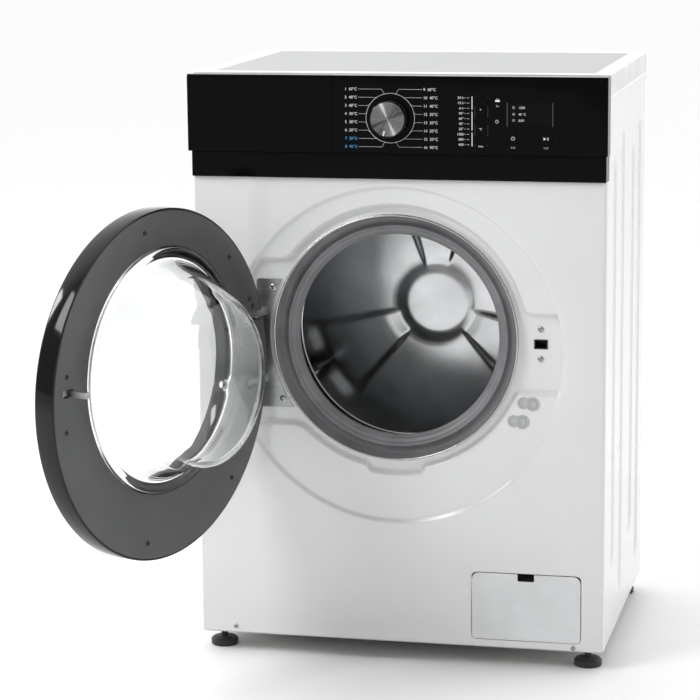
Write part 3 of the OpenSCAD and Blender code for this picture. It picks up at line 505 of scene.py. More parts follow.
# %% [markdown]
# The front is one steel sheet pressed into a shallow round dish that the closed door sits in.
# Inside the dish two crescents stay higher, while the hinge pocket on the left, the lock pocket on
# the right and a band round the mouth lie deep. A formula for the depth at any point gives soft
# pressed edges, and a mesh of rings that follow the two circles keeps every edge clean.

# %% Measure the front
FRONT_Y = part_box("front_panel")[0].y
PANEL_LOW, PANEL_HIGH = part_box("front_panel")
DOOR_X = (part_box("gasket")[0].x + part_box("gasket")[1].x) / 2
MOUTH_Z = (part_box("gasket")[0].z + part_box("gasket")[1].z) / 2
MOUTH_R = (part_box("gasket")[1].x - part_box("gasket")[0].x) / 2 + 0.0005
DISH_Z = MOUTH_Z - 0.026
DISH_R = 0.2435
FLOOR = 0.012
CRESCENT = 0.0042
SLOPE = 0.0072
LEFT_POCKET = (0.346, 0.579)
RIGHT_POCKET = (0.400, 0.510)
BAND = 0.010
SPOUT = 0.008
SPOUT_HALF = 0.040
LOCK_X = 0.2036
LOCK_Z = 0.469
print("mouth", round(DOOR_X, 4), round(MOUTH_Z, 4), "radius", round(MOUTH_R, 4))

# %% Press the dish
def soft_least(a, b, blend):
    """The smaller of two distances, rounded where they meet."""
    mix = np.clip(0.5 + (b - a) / (2 * blend), 0, 1)
    return b + (a - b) * mix - blend * mix * (1 - mix)


def pressing(x, z):
    """How deep the pressed front lies behind its face."""
    to_dish = np.hypot(x - DOOR_X, z - DISH_Z)
    to_mouth = np.hypot(x - DOOR_X, z - MOUTH_Z)
    below = (z < MOUTH_Z) * ease((SPOUT_HALF - np.abs(x - DOOR_X)) / 0.008 + 0.5)
    band = to_mouth - MOUTH_R - BAND - SPOUT * below
    left = np.maximum(z - LEFT_POCKET[1], LEFT_POCKET[0] - z)
    right = np.maximum(z - RIGHT_POCKET[1], RIGHT_POCKET[0] - z)
    pocket = np.where(x < DOOR_X, left, right)
    raised = ease(soft_least(band, pocket, 0.010) / SLOPE + 0.3)
    return ease((DISH_R - to_dish) / SLOPE) * (FLOOR - (FLOOR - CRESCENT) * raised)


TURN_STEPS = 720
turn = np.linspace(0, 2 * math.pi, TURN_STEPS, endpoint=False)
drop = DISH_Z - MOUTH_Z
rim = DISH_R + 0.002
reach = drop * np.sin(turn) + np.sqrt(rim**2 - (drop * np.cos(turn)) ** 2)

NEAR_ROWS, MIDDLE_ROWS, OUTER_ROWS = 18, 25, 14
near = [MOUTH_R + 0.003 + 0.0013 * i for i in range(NEAR_ROWS)]
outer = [0.0011 * i for i in range(OUTER_ROWS - 1, -1, -1)]
rows = [np.full(TURN_STEPS, r) for r in near]
gap = (reach - outer[0]) - near[-1]
rows += [near[-1] + gap * (i + 1) / (MIDDLE_ROWS + 1) for i in range(MIDDLE_ROWS)]
rows += [reach - back for back in outer]

NECK = [(0.0004, 0.0034), (0.0, 0.003), (0.0, 0.007), (0.0003, 0.0098), (0.0014, 0.0116)]
corners = []
for flare, depth in NECK:
    for a in turn:
        across = MOUTH_R + flare
        corners.append((DOOR_X + across * math.cos(a), FRONT_Y + depth, MOUTH_Z + across * math.sin(a)))
for radius in rows:
    x, z = DOOR_X + radius * np.cos(turn), MOUTH_Z + radius * np.sin(turn)
    corners += list(zip(x, FRONT_Y + pressing(x, z), z))
dish_faces = grid_faces(len(NECK) + len(rows), TURN_STEPS)
dish_edge = corners[-TURN_STEPS:]
print("dish faces", len(dish_faces))

# %% [markdown]
# Round the dish the sheet is flat. Its outline is a rectangle with the filter door's opening left
# out, and both outlines are folded back over a small radius, as a press brake leaves them.
# The flat part is filled with triangles between the outlines, because nothing bends there.

# %% Fold the flat front
def outline(low_x, low_z, high_x, high_z, radius, steps=6):
    return rounded_path([(low_x, low_z), (high_x, low_z), (high_x, high_z), (low_x, high_z)], radius, steps)


FOLD = 0.0016
SHEET = 0.0008
flap_low, flap_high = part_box("filter_flap")
GAP = 0.001


def sheet_edge(inset):
    return outline(PANEL_LOW.x + inset, PANEL_LOW.z + inset,
                   PANEL_HIGH.x - inset, PANEL_HIGH.z - inset, 0.003)


def flap_edge(grow):
    return outline(flap_low.x - GAP - grow, flap_low.z - GAP - grow,
                   flap_high.x + GAP + grow, flap_high.z + GAP + grow, 0.009)


def fold(ring, bends):
    """Rows of corners from an outline, each at an inset and a depth."""
    rows = [[(x, FRONT_Y + depth, z) for x, z in ring(inset)] for inset, depth in bends]
    return [c for row in rows for c in row], grid_faces(len(rows), len(rows[0])), rows[0]


side_bend = [(FOLD * (1 - math.sin(a)), FOLD * (1 - math.cos(a)))
             for a in np.radians([0, 22.5, 45, 67.5, 90])]
flap_bend = [(0.0004, 0), (0.0001, 0.0001), (0, 0.0004), (0, 0.0009)]
side_corners, side_faces, side_start = fold(sheet_edge, side_bend)
flap_corners, flap_faces, flap_start = fold(flap_edge, flap_bend)
flat_loops = [side_start, dish_edge, flap_start]
flat_outlines = [[Vector((x, z, 0)) for x, y, z in loop] for loop in flat_loops]
flat_faces = geometry.tessellate_polygon(flat_outlines)
flat = ([c for loop in flat_loops for c in loop], [tuple(face) for face in flat_faces])

front = piece("pressed_front", *joined((corners, dish_faces), flat, (side_corners, side_faces),
                                       (flap_corners, flap_faces)), "white_enamel", "cabinet", crease=80)
shape = bmesh.new()
shape.from_mesh(front.data)
bmesh.ops.remove_doubles(shape, verts=shape.verts, dist=0.00002)


def thicken(made):
    """Gives a pressed skin the thickness of its sheet, behind the face that shows."""
    sheet = made.modifiers.new("sheet", "SOLIDIFY")
    sheet.thickness = SHEET
    sheet.offset = -1


def cut_window(shape, centre_x, centre_z, half_w, half_h):
    """Cuts a clean rectangular hole through a sheet that faces the front."""
    def close(face):
        at = face.calc_center_median()
        return abs(at.x - centre_x) < half_w * 2.5 and abs(at.z - centre_z) < half_h * 2.5

    cuts = [((centre_x + s * half_w, 0, 0), (1, 0, 0)) for s in (-1, 1)]
    cuts += [((0, 0, centre_z + s * half_h), (0, 0, 1)) for s in (-1, 1)]
    for point, normal in cuts:
        faces = [f for f in shape.faces if close(f)]
        edges = list({e for f in faces for e in f.edges})
        verts = list({v for f in faces for v in f.verts})
        bmesh.ops.bisect_plane(shape, geom=faces + edges + verts, plane_co=point,
                               plane_no=normal, dist=1e-6)
    inside = [f for f in shape.faces if close(f)
              and abs(f.calc_center_median().x - centre_x) < half_w
              and abs(f.calc_center_median().z - centre_z) < half_h]
    bmesh.ops.delete(shape, geom=inside, context="FACES")


cut_window(shape, LOCK_X, LOCK_Z, 0.0094, 0.0064)
bmesh.ops.recalc_face_normals(shape, faces=shape.faces)
shape.to_mesh(front.data)
shape.free()
if front.data.polygons[len(front.data.polygons) // 2].normal.y > 0:
    front.data.flip_normals()
front.data.shade_smooth()
thicken(front)
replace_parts(front, "front_panel")
print("front faces", len(front.data.polygons))

# %% [markdown]
# Each side is a sheet with four long ribs pressed inwards to stop it drumming. A grid whose lines
# run round the front corner, along the side and round the rear edge takes the same soft pressing
# formula, this time from the distance to a rib's outline. The upper front corner is left out,
# because the control panel stands there.

# %% Press the sides
SIDE_LOW, SIDE_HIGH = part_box("side_panel_right")
SIDE_X = SIDE_HIGH.x
CORNER_R = 0.007
RIB_HALF = 0.028
RIB_DEPTH = 0.0025
RIB_SLOPE = 0.008
RIBS = [(0.052, 0.129, 0.728), (0.144, 0.069, 0.759), (0.262, 0.129, 0.724), (0.344, 0.069, 0.757)]
STRIP_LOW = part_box("fascia_lower_strip")[0].z
FASCIA_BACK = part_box("worktop_frame")[0].y + 0.0005


def rib_pressing(y, z):
    depth = np.zeros_like(y)
    for front_edge, low, high in RIBS:
        middle_y = FRONT_Y + front_edge + RIB_HALF
        half = (high - low) / 2 - RIB_HALF
        off = np.maximum(np.abs(z - (high + low) / 2) - half, 0)
        depth = np.maximum(depth, ease((RIB_HALF - np.hypot(y - middle_y, off)) / RIB_SLOPE) * RIB_DEPTH)
    return depth


def pressed_side(name, mirror):
    corner = [math.radians(a) for a in range(0, 91, 9)]
    run = [(SIDE_X - 0.024, FRONT_Y + 0.001)]
    run += [(SIDE_X - CORNER_R + (CORNER_R - 0.0001) * math.sin(a),
             FRONT_Y + 0.008 - CORNER_R * math.cos(a)) for a in corner]
    rear = SIDE_HIGH.y - 0.0012
    run += [(SIDE_X, y) for y in np.linspace(FRONT_Y + 0.010, FASCIA_BACK, 6)]
    run += [(SIDE_X, y) for y in np.linspace(FASCIA_BACK, rear, 168)[1:]]
    run += [(SIDE_X - 0.0003, rear + 0.0008), (SIDE_X - 0.0012, rear + 0.0011),
            (SIDE_X - 0.022, rear + 0.0012)]
    heights = np.concatenate([np.linspace(SIDE_LOW.z, STRIP_LOW, 240),
                              np.linspace(STRIP_LOW, SIDE_HIGH.z, 42)[1:]])
    line_x = np.array([x for x, y in run])
    line_y = np.array([y for x, y in run])
    corners = []
    for z in heights:
        depth = rib_pressing(line_y, np.full_like(line_y, z)) * (line_x > SIDE_X - 0.0001)
        corners += list(zip(mirror * (line_x - depth), line_y, np.full_like(line_y, z)))
    across = len(run)
    faces = [(i * across + k, i * across + k + 1, (i + 1) * across + k + 1, (i + 1) * across + k)
             for i in range(len(heights) - 1) for k in range(across - 1)
             if heights[i] < STRIP_LOW - 1e-6 or line_y[k] > FASCIA_BACK - 1e-6]
    side = piece(f"pressed_{name}", corners, faces, "white_enamel", "cabinet", crease=80)
    shape = bmesh.new()
    shape.from_mesh(side.data)
    loose = [v for v in shape.verts if not v.link_faces]
    bmesh.ops.delete(shape, geom=loose, context="VERTS")
    shape.to_mesh(side.data)
    shape.free()
    widest = max(side.data.polygons, key=lambda f: abs(f.center.x))
    if widest.normal.x * mirror < 0:
        side.data.flip_normals()
    side.data.shade_smooth()
    thicken(side)
    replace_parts(side, name)
    return side


for name, mirror in (("side_panel_right", 1), ("side_panel_left", -1)):
    print(name, len(pressed_side(name, mirror).data.polygons), "faces")

# %% [markdown]
# The grey seal is a rubber bellows between the cabinet and the tub. Its front lip grips the mouth
# of the front panel, a ridge stands round the inside, and a soft inner lip seals on the door glass.
# A turned profile with rounded corners is enough, because rubber has no sharp edges. A thin wire
# clamp holds the lip from outside.

# %% Turn the seal
GLASS_Z = 0.464
SEAL = [(0.0008, 0.002), (0.0008, 0.025), (0.004, 0.030), (0.024, 0.036), (0.018, 0.042),
        (0.012, 0.046), (0.012, 0.0665), (0.015, 0.0665), (0.015, 0.048), (0.020, 0.0445),
        (0.0325, 0.034), (0.0325, 0.028), (0.0295, 0.0255), (0.027, 0.022), (0.023, 0.020),
        (0.0205, 0.016), (0.0175, 0.016), (0.015, 0.0205), (0.012, 0.022), (0.007, 0.022),
        (0.0048, 0.016), (0.004, 0.011), (0.004, 0.004), (0.0028, 0.002)]
seal_path = rounded_path(SEAL, 0.0035, 4)
seal_rows = [(DOOR_X, MOUTH_Z, MOUTH_R - inset, FRONT_Y + depth) for inset, depth in seal_path]
seal = piece("door_seal", *circles(seal_rows, 256), "seal_rubber", "cabinet", crease=70)
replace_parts(seal, "gasket")

WIRE_R = 0.0016
wire = [(DOOR_X, MOUTH_Z, MOUTH_R - 0.002 + WIRE_R * math.cos(a), FRONT_Y + 0.0004 + WIRE_R * math.sin(a))
        for a in np.linspace(0, 2 * math.pi, 12, endpoint=False)]
clamp = piece("seal_clamp_wire", *circles(wire, 256), "zinc_fastener", "cabinet", crease=80)
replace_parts(clamp, "gasket_clamp")
print("seal faces", len(seal.data.polygons))

# %% [markdown]
# The drum is stainless sheet with small holes in staggered rows. Each hole sits in its own square
# cell: eight corners round the cell, eight round the hole, and eight faces between them.
# Because every other row is shifted by half a cell, the corner of one cell meets the middle of the
# next cell's edge, so the whole sheet closes without a gap.

# %% Perforate the drum
DRUM_LOW, DRUM_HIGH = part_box("drum_shell")
DRUM_R = (DRUM_HIGH.x - DRUM_LOW.x) / 2
DRUM_FRONT, DRUM_BACK = DRUM_LOW.y + 0.013, DRUM_HIGH.y
HOLE_R = 0.0017
CELLS = 108
ROWS = 14


def perforated_wall():
    step_a = 2 * math.pi / CELLS
    step_y = (DRUM_BACK - 0.008 - DRUM_FRONT) / ROWS
    radius = DRUM_R - 0.0003
    corners, faces = [], []
    rim_points = [(-1, -1), (0, -1), (1, -1), (1, 0), (1, 1), (0, 1), (-1, 1), (-1, 0)]
    for row in range(ROWS):
        for cell in range(CELLS):
            a = (cell + (row % 2) / 2) * step_a
            y = DRUM_FRONT + (row + 0.5) * step_y
            start = len(corners)
            for across, along in rim_points:
                angle = a + across * step_a / 2
                corners.append((DOOR_X + radius * math.cos(angle), y + along * step_y / 2,
                                MOUTH_Z + radius * math.sin(angle)))
            for across, along in rim_points:
                span = math.hypot(across, along)
                angle = a + across / span * HOLE_R / radius
                corners.append((DOOR_X + (radius + 0.0002) * math.cos(angle), y + along / span * HOLE_R,
                                MOUTH_Z + (radius + 0.0002) * math.sin(angle)))
            faces += [(start + k, start + (k + 1) % 8, start + 8 + (k + 1) % 8, start + 8 + k)
                      for k in range(8)]
    return corners, faces


BACK_RIB = 0.004
mouth_r = MOUTH_R - 0.024
AROUND = 2 * CELLS
LIP = [(mouth_r + 0.0012, 0.0030), (mouth_r + 0.0010, 0.0012), (mouth_r + 0.0022, 0.0003),
       (mouth_r + 0.0040, 0.0008), (mouth_r + 0.0080, 0.0032), (DRUM_R - 0.0100, 0.0062),
       (DRUM_R - 0.0030, 0.0085), (DRUM_R - 0.0006, 0.0110), (DRUM_R - 0.0003, 0.0130)]
front_wall = circles([(DOOR_X, MOUTH_Z, r, DRUM_LOW.y + d) for r, d in LIP], AROUND, closed=False)
back_turn = np.linspace(0, 2 * math.pi, AROUND, endpoint=False)
back_radii = [DRUM_R - back for back in (0.0003, 0.0012, 0.004, 0.009)]
back_radii += list(np.linspace(DRUM_R - 0.016, 0.012, 30))
back_corners = []
for r in back_radii:
    arms = ease((np.cos(3 * (back_turn - math.pi / 2)) - 0.45) / 0.3)
    star = arms * ease((r - 0.05) / 0.03) * ease((DRUM_R - 0.03 - r) / 0.03)
    hub = ease((0.062 - r) / 0.015)
    bow = 0.0008 + 0.0072 * ease((r - (DRUM_R - 0.012)) / 0.0115)
    depth = np.minimum(bow + BACK_RIB * np.maximum(star, hub), 0.012) if r < DRUM_R - 0.0005 else 0.008
    back_y = np.broadcast_to(DRUM_BACK - depth, back_turn.shape)
    back_corners += list(zip(DOOR_X + r * np.cos(back_turn), back_y, MOUTH_Z + r * np.sin(back_turn)))
back_faces = grid_faces(len(back_radii), AROUND)
back_faces.append(tuple(range((len(back_radii) - 1) * AROUND, len(back_radii) * AROUND)))
drum = piece("drum_sheet", *joined(perforated_wall(), front_wall, (back_corners, back_faces)),
             "drum_steel", "drum", crease=50)
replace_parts(drum, "drum_shell")
print("drum faces", len(drum.data.polygons))

# %% [markdown]
# Three lifters carry the laundry up as the drum turns. Each is a hollow moulding with a tall
# rounded back that narrows towards both ends. A loft through cross-sections along the drum makes
# it: the same bell curve at each section, scaled down near the ends.

# %% Loft the lifters
LIFT_ANGLES = (90, 210, 330)
LIFT_H = 0.052
LIFT_W = 0.025


def lifter(angle):
    low_y, high_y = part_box("drum_paddles")[0].y + 0.0005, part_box("drum_paddles")[1].y - 0.0005
    corners = []
    a = math.radians(angle)
    sections, across = 22, 24
    for s in range(sections + 1):
        t = s / sections
        swell = math.sin(math.pi * t) ** 0.28 if 0 < t < 1 else 0.0
        for k in range(across + 1):
            u = 2 * k / across - 1
            height = LIFT_H * swell * math.cos(u * math.pi / 2) ** 1.6
            wide = LIFT_W * u * (0.75 + 0.25 * swell)
            r = DRUM_R - 0.0016 - height - 0.0004
            corners.append((DOOR_X + r * math.cos(a) - wide * math.sin(a), low_y + (high_y - low_y) * t,
                            MOUTH_Z + r * math.sin(a) + wide * math.cos(a)))
    row = across + 1
    faces = grid_faces(sections + 1, row, wrap=False)
    faces += [tuple(range(row)), tuple(sections * row + k for k in range(row))]
    return corners, faces


lifters = piece("drum_lifters", *joined(*[lifter(a) for a in LIFT_ANGLES]), "drum_steel", "drum", crease=60)
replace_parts(lifters, "drum_paddles")
print("lifters", len(LIFT_ANGLES))

# %% [markdown]
# The door is drawn closed and then swung to where the hinge holds it open, so that its circles are
# easy to write. The door's outer ring is a glossy black moulding with a deep rounded rim, the inner
# ring is a satin grey plate, and slots in both let the cabinet's two hinge lugs through.

# %% Find the door
hinge = next(j for j in frame["joints"] if j["name"] == "door_hinge")
HINGE = Vector(hinge["pos_m"])
OPEN = math.radians(hinge["range_deg"][1])
swing = (Matrix.Translation(HINGE) @ Matrix.Rotation(-OPEN, 4, "Z") @ Matrix.Translation(-HINGE))
DOOR_Z = DISH_Z - 0.003
DOOR_R = 0.239
DOOR_IN = FRONT_Y - 0.008
DOOR_OUT = DOOR_IN - 0.032
GLASS_R = 0.168
WINDOW_R = GLASS_R - 0.014
LUG_Z = (0.506, 0.409)
LUG_SLOT = 0.014
LUG_DEPTH = 0.028


def swing_open(made):
    made.data.transform(swing)
    return made


def lug_slots():
    return [((HINGE.x - 0.032, DOOR_IN - LUG_DEPTH, z - LUG_SLOT / 2),
             (HINGE.x + 0.020, DOOR_IN + 0.002, z + LUG_SLOT / 2)) for z in LUG_Z]


print("door opens", round(math.degrees(OPEN)), "degrees from closed")

# %% Turn the door's two rings
EDGE_R = 0.0035
edge = [(DOOR_Z, DOOR_R - EDGE_R + EDGE_R * math.sin(a), DOOR_OUT + EDGE_R - EDGE_R * math.cos(a))
        for a in np.radians([0, 15, 30, 45, 60, 75, 90])]
outer_rows = [(GLASS_Z, WINDOW_R, DOOR_IN - 0.014), (GLASS_Z, WINDOW_R, DOOR_OUT + 0.002),
              (GLASS_Z, WINDOW_R + 0.0006, DOOR_OUT + 0.0006), (GLASS_Z, WINDOW_R + 0.002, DOOR_OUT), *edge,
              (DOOR_Z, DOOR_R, DOOR_IN - 0.0030), (DOOR_Z, DOOR_R - 0.0005, DOOR_IN - 0.0019),
              (DOOR_Z, DOOR_R - 0.0014, DOOR_IN - 0.0015), (DOOR_Z, DOOR_R - 0.0028, DOOR_IN - 0.0015),
              (DOOR_Z, DOOR_R - 0.0028, DOOR_OUT + 0.005), (DOOR_Z, DOOR_R - 0.005, DOOR_OUT + 0.003),
              (GLASS_Z, WINDOW_R + 0.003, DOOR_OUT + 0.003), (GLASS_Z, WINDOW_R + 0.003, DOOR_IN - 0.014)]
outer_ring = piece("door_rim", *circles([(DOOR_X, z, r, y) for z, r, y in outer_rows], 256),
                   "gloss_black", "door")
carve(outer_ring, lug_slots())
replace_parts(swing_open(outer_ring), "door_outer_ring")

inner_rows = [(DOOR_Z, DOOR_R - 0.003, DOOR_IN - 0.012), (DOOR_Z, DOOR_R - 0.003, DOOR_IN - 0.0014),
              (DOOR_Z, DOOR_R - 0.0034, DOOR_IN - 0.0004), (DOOR_Z, DOOR_R - 0.0044, DOOR_IN),
              (GLASS_Z, GLASS_R + 0.0018, DOOR_IN), (GLASS_Z, GLASS_R + 0.0006, DOOR_IN - 0.0004),
              (GLASS_Z, GLASS_R + 0.0002, DOOR_IN - 0.0016), (GLASS_Z, GLASS_R + 0.0002, DOOR_IN - 0.010),
              (GLASS_Z, GLASS_R + 0.004, DOOR_IN - 0.010), (GLASS_Z, GLASS_R + 0.004, DOOR_IN - 0.004),
              (DOOR_Z, DOOR_R - 0.006, DOOR_IN - 0.004), (DOOR_Z, DOOR_R - 0.006, DOOR_IN - 0.012)]
inner_ring = piece("door_inner_plate", *circles([(DOOR_X, z, r, y) for z, r, y in inner_rows], 256),
                   "door_grey", "door")
hook_slot = ((LOCK_X - 0.009, DOOR_IN - 0.006, LOCK_Z - 0.005),
             (LOCK_X + 0.011, DOOR_IN + 0.001, LOCK_Z + 0.005))
vents = [((HINGE.x + 0.006, DOOR_IN - 0.003, z), (HINGE.x + 0.012, DOOR_IN + 0.001, z + 0.008))
         for z in (LUG_Z[0] + 0.012, LUG_Z[0] - 0.020)]
carve(inner_ring, lug_slots() + [hook_slot] + vents)
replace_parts(swing_open(inner_ring), "door_inner_ring")
print("rings", len(outer_ring.data.polygons), len(inner_ring.data.polygons))

# %% Fill the hinge side of the door
def slab(name, ring, low_y, high_y, slot, body):
    """A plate from an outline of (x, z) points, with softened edges."""
    count = len(ring)
    corners = [(x, y, z) for y in (low_y, high_y) for x, z in ring]
    faces = [tuple(range(count)), tuple(range(count, 2 * count))] + grid_faces(2, count)
    made = piece(name, corners, faces, slot, body)
    soft = made.modifiers.new("soft", "BEVEL")
    soft.width, soft.segments, soft.limit_method = 0.0006, 2, "ANGLE"
    bake(made)
    return made


block_r = DOOR_R - 0.009
block_angles = np.linspace(math.pi - 0.30, math.pi + 0.24, 14)
block_ring = [(DOOR_X + block_r * math.cos(a), DOOR_Z + block_r * math.sin(a)) for a in block_angles]
block_ring += [(HINGE.x + 0.024, block_ring[-1][1]), (HINGE.x + 0.024, block_ring[0][1])]
block = slab("door_hinge_block", block_ring, DOOR_OUT + 0.0045, DOOR_IN - 0.0045, "black_plastic", "door")
carve(block, lug_slots())
swing_open(block)
print("hinge block faces", len(block.data.polygons))

# %% [markdown]
# The glass is a clear bowl that pushes the laundry back into the drum. Its flange is clamped in
# the door, its wall slopes in, its bottom is gently domed, and the deep part of the bowl sags a
# little so that laundry slides off its upper side. One closed outline with an inner and an outer
# skin gives real thickness, which is what makes the bright rings along its edges.

# %% Blow the glass bowl
BOWL_DEPTH = 0.092
BOWL = [(0.0005, -0.004), (0.0005, -0.0005), (0.006, 0.0016), (0.012, 0.0016), (0.016, -0.0002),
        (0.0195, 0.004), (0.035, 0.034), (0.052, BOWL_DEPTH - 0.012), (0.062, BOWL_DEPTH - 0.003),
        (0.084, BOWL_DEPTH), (GLASS_R - 0.030, BOWL_DEPTH + 0.002),
        (GLASS_R - 0.0005, BOWL_DEPTH + 0.0028)]
INSIDE = [(GLASS_R - 0.0005, BOWL_DEPTH - 0.0012), (GLASS_R - 0.030, BOWL_DEPTH - 0.002),
          (0.085, BOWL_DEPTH - 0.004), (0.065, BOWL_DEPTH - 0.007), (0.056, BOWL_DEPTH - 0.014),
          (0.039, 0.034), (0.0235, 0.001), (0.020, -0.004)]
SAG, SAG_FROM = 0.010, 0.044


def bowl_z(depth):
    """Height of the bowl's middle, which drops once the bowl is deep enough."""
    return GLASS_Z - SAG * max(0.0, depth - SAG_FROM) / (BOWL_DEPTH - SAG_FROM)


bowl_rows = [(DOOR_X, bowl_z(depth), GLASS_R - inset, DOOR_IN + depth)
             for inset, depth in rounded_path(BOWL + INSIDE, 0.009, 6)]
glass = piece("glass_bowl", *circles(bowl_rows, 256), "door_glass", "door", crease=75)
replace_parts(swing_open(glass), "door_glass")
print("glass faces", len(glass.data.polygons))

# %% [markdown]
# Screw heads are small, but on a bare door and a white front they are the only things with a
# sharp glint. Each is a low dome of fine rings whose middle is pushed in where the cross of the
# driver fits. One function makes a head that faces front or back, and a loop places them all.

# %% Drive the screws
def cross_head(x, z, face_y, radius, height, out):
    """A domed head with a cross recess; out is -1 towards the front and 1 towards the back."""
    rings, around = 14, 40
    arm, bar = radius * 0.17, radius * 0.62
    turns = [2 * math.pi * k / around for k in range(around)]
    corners = []
    for i in range(rings + 1):
        r = radius * (1 - i / rings)
        for a in turns:
            px, pz = r * math.cos(a), r * math.sin(a)
            dome = height * math.sqrt(max(0.0, 1 - (r / radius) ** 2 * 0.96))
            cross = max(min(arm - abs(px), bar - abs(pz)), min(arm - abs(pz), bar - abs(px)))
            sunk = height * 0.9 * float(ease(cross / (arm * 0.5)))
            corners.append((x + px, face_y + out * max(dome - sunk, height * 0.05), z + pz))
    corners += [(x + radius * math.cos(a), face_y, z + radius * math.sin(a)) for a in turns]
    faces = grid_faces(rings, around)
    faces.append(tuple((rings - 1) * around + k for k in range(around)))
    base = (rings + 1) * around
    faces += [(k, (k + 1) % around, base + (k + 1) % around, base + k) for k in range(around)]
    return corners, faces


REAR_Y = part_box("rear_panel")[1].y
FLOOR_Y = FRONT_Y + FLOOR
PLATE_HEAD = (0.0045, 0.0025)
HINGE_HEAD = (0.0055, 0.0025)
FRONT_HEAD = (0.0036, 0.002)
heads = [cross_head(x, z, REAR_Y, *PLATE_HEAD, 1) for x in (-0.281, 0.281) for z in (0.080, 0.420, 0.760)]
heads += [cross_head(DOOR_X + x, MOUTH_Z + z, REAR_Y + 0.001, *PLATE_HEAD, 1)
          for x in (-0.163, 0.163) for z in (-0.163, 0.163)]
heads += [cross_head(LOCK_X, LOCK_Z + z, FLOOR_Y, *PLATE_HEAD, -1) for z in (-0.021, 0.021)]
heads += [cross_head(x, z, FLOOR_Y - 0.002, *HINGE_HEAD, -1) for x, z in ((-0.181, 0.540), (-0.1695, 0.378))]
heads += [cross_head(x, z, FRONT_Y, *FRONT_HEAD, -1) for x, z in ((-0.243, 0.038), (0.253, 0.0335))]
screws = piece("cabinet_screw_heads", *joined(*heads), "zinc_fastener", "cabinet", crease=40)
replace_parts(screws, "cabinet_screws")

DOOR_SCREW_R = 0.215
DOOR_SCREWS = (12.6, 79.3, 134, 155.6, 227.4, 283.5, 353.2)
door_heads = [cross_head(DOOR_X + DOOR_SCREW_R * math.cos(a), DOOR_Z + DOOR_SCREW_R * math.sin(a), DOOR_IN,
                         0.0036, 0.0018, 1) for a in np.radians(DOOR_SCREWS)]
door_screws = piece("door_screw_heads", *joined(*door_heads), "zinc_fastener", "door",
                    FINISHES["black_plastic"], crease=40)
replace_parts(swing_open(door_screws), "door_screws")
print("screws", len(heads) + len(door_heads))

# %% [markdown]
# Two grey plugs shaped like an eight close the spare screw holes under the lock. The outline is
# two circles run together, and five copies of it, at different insets and heights, make the raised
# bead round the edge.

# %% Mould the plugs
def eight(big, small, big_r, small_r, inset, steps=28):
    """Outline of two overlapping circles."""
    big, small = Vector(big), Vector(small)
    r1, r2 = big_r - inset, small_r - inset
    gap = (small - big).length
    toward = math.atan2(small.y - big.y, small.x - big.x)
    a1 = math.acos((gap**2 + r1**2 - r2**2) / (2 * gap * r1))
    a2 = math.acos((gap**2 + r2**2 - r1**2) / (2 * gap * r2))
    ring = [big + r1 * Vector((math.cos(a), math.sin(a)))
            for a in np.linspace(toward + a1, toward - a1 + 2 * math.pi, steps)]
    ring += [small + r2 * Vector((math.cos(a), math.sin(a)))
             for a in np.linspace(toward - math.pi + a2, toward + math.pi - a2, steps)]
    return [tuple(p) for p in ring]


PAD_Y = FRONT_Y + CRESCENT


BEAD = [(0, -0.0004), (0, 0.0010), (0.0005, 0.0015), (0.0013, 0.0015), (0.0018, 0.0009)]
BOSS = [(0.0062, 0.0009), (0.0060, 0.0015), (0.0052, 0.0017), (0.0046, 0.0011), (0.0001, 0.0009)]
PLUGS = [((0.1933, 0.3847), (0.1803, 0.3857)), ((0.1788, 0.3587), (0.1663, 0.3593))]


def plug(big, small):
    rows = [[(x, PAD_Y - up, z) for x, z in eight(big, small, 0.0098, 0.0084, inset)] for inset, up in BEAD]
    count = len(rows[0])
    corners = [c for row in rows for c in row]
    faces = grid_faces(len(rows), count)
    faces += [tuple(range(count)), tuple(range(len(corners) - count, len(corners)))]
    boss = circles([(*big, r, PAD_Y - up) for r, up in BOSS], 32, closed=False)
    return joined((corners, faces), boss)


piece("spare_hole_plugs", *joined(*[plug(*ends) for ends in PLUGS]),
      "door_glass", "cabinet", GREY_PLUG, crease=60)
print("plugs", len(PLUGS))

# %% [markdown]
# The programme knob has a black skirt and a dark metal face, whose fine turning grooves make
# bright fans under a lamp. A white pointer marks the chosen programme. The knob turns on its own,
# so skirt, face and pointer all ride on the knob's body.

# %% Turn the knob
KNOB_LOW, KNOB_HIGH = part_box("programme_knob")
KNOB_X, KNOB_Z = (KNOB_LOW.x + KNOB_HIGH.x) / 2, (KNOB_LOW.z + KNOB_HIGH.z) / 2
KNOB_R = (KNOB_HIGH.x - KNOB_LOW.x) / 2
FASCIA_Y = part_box("control_fascia")[0].y
KNOB_FRONT = KNOB_LOW.y
skirt = [(KNOB_R - 0.0004, FASCIA_Y - 0.0006), (KNOB_R, FASCIA_Y - 0.0010), (KNOB_R, FASCIA_Y - 0.0030),
         (KNOB_R - 0.0006, FASCIA_Y - 0.0040), (KNOB_R - 0.0012, KNOB_FRONT + 0.0016),
         (KNOB_R - 0.0016, KNOB_FRONT + 0.0004), (KNOB_R - 0.0022, KNOB_FRONT),
         (KNOB_R - 0.0028, KNOB_FRONT + 0.0006)]
GROOVES = 44
GROOVE_DEPTH = 0.0002
face = [(KNOB_R - 0.0028 - (KNOB_R - 0.0031) * i / GROOVES, KNOB_FRONT + 0.0006 + GROOVE_DEPTH * (i % 2))
        for i in range(GROOVES + 1)]
knob_skirt = piece("knob_skirt", *circles([(KNOB_X, KNOB_Z, r, y) for r, y in skirt], 128, closed=False),
                   "gloss_black", "knob")
piece("knob_face", *circles([(KNOB_X, KNOB_Z, r, y) for r, y in face], 128, closed=False),
      slot_of["programme_knob"], "knob", crease=5)
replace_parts(knob_skirt, "programme_knob")
pointer_at = math.radians(255)
along = Vector((math.cos(pointer_at), math.sin(pointer_at)))
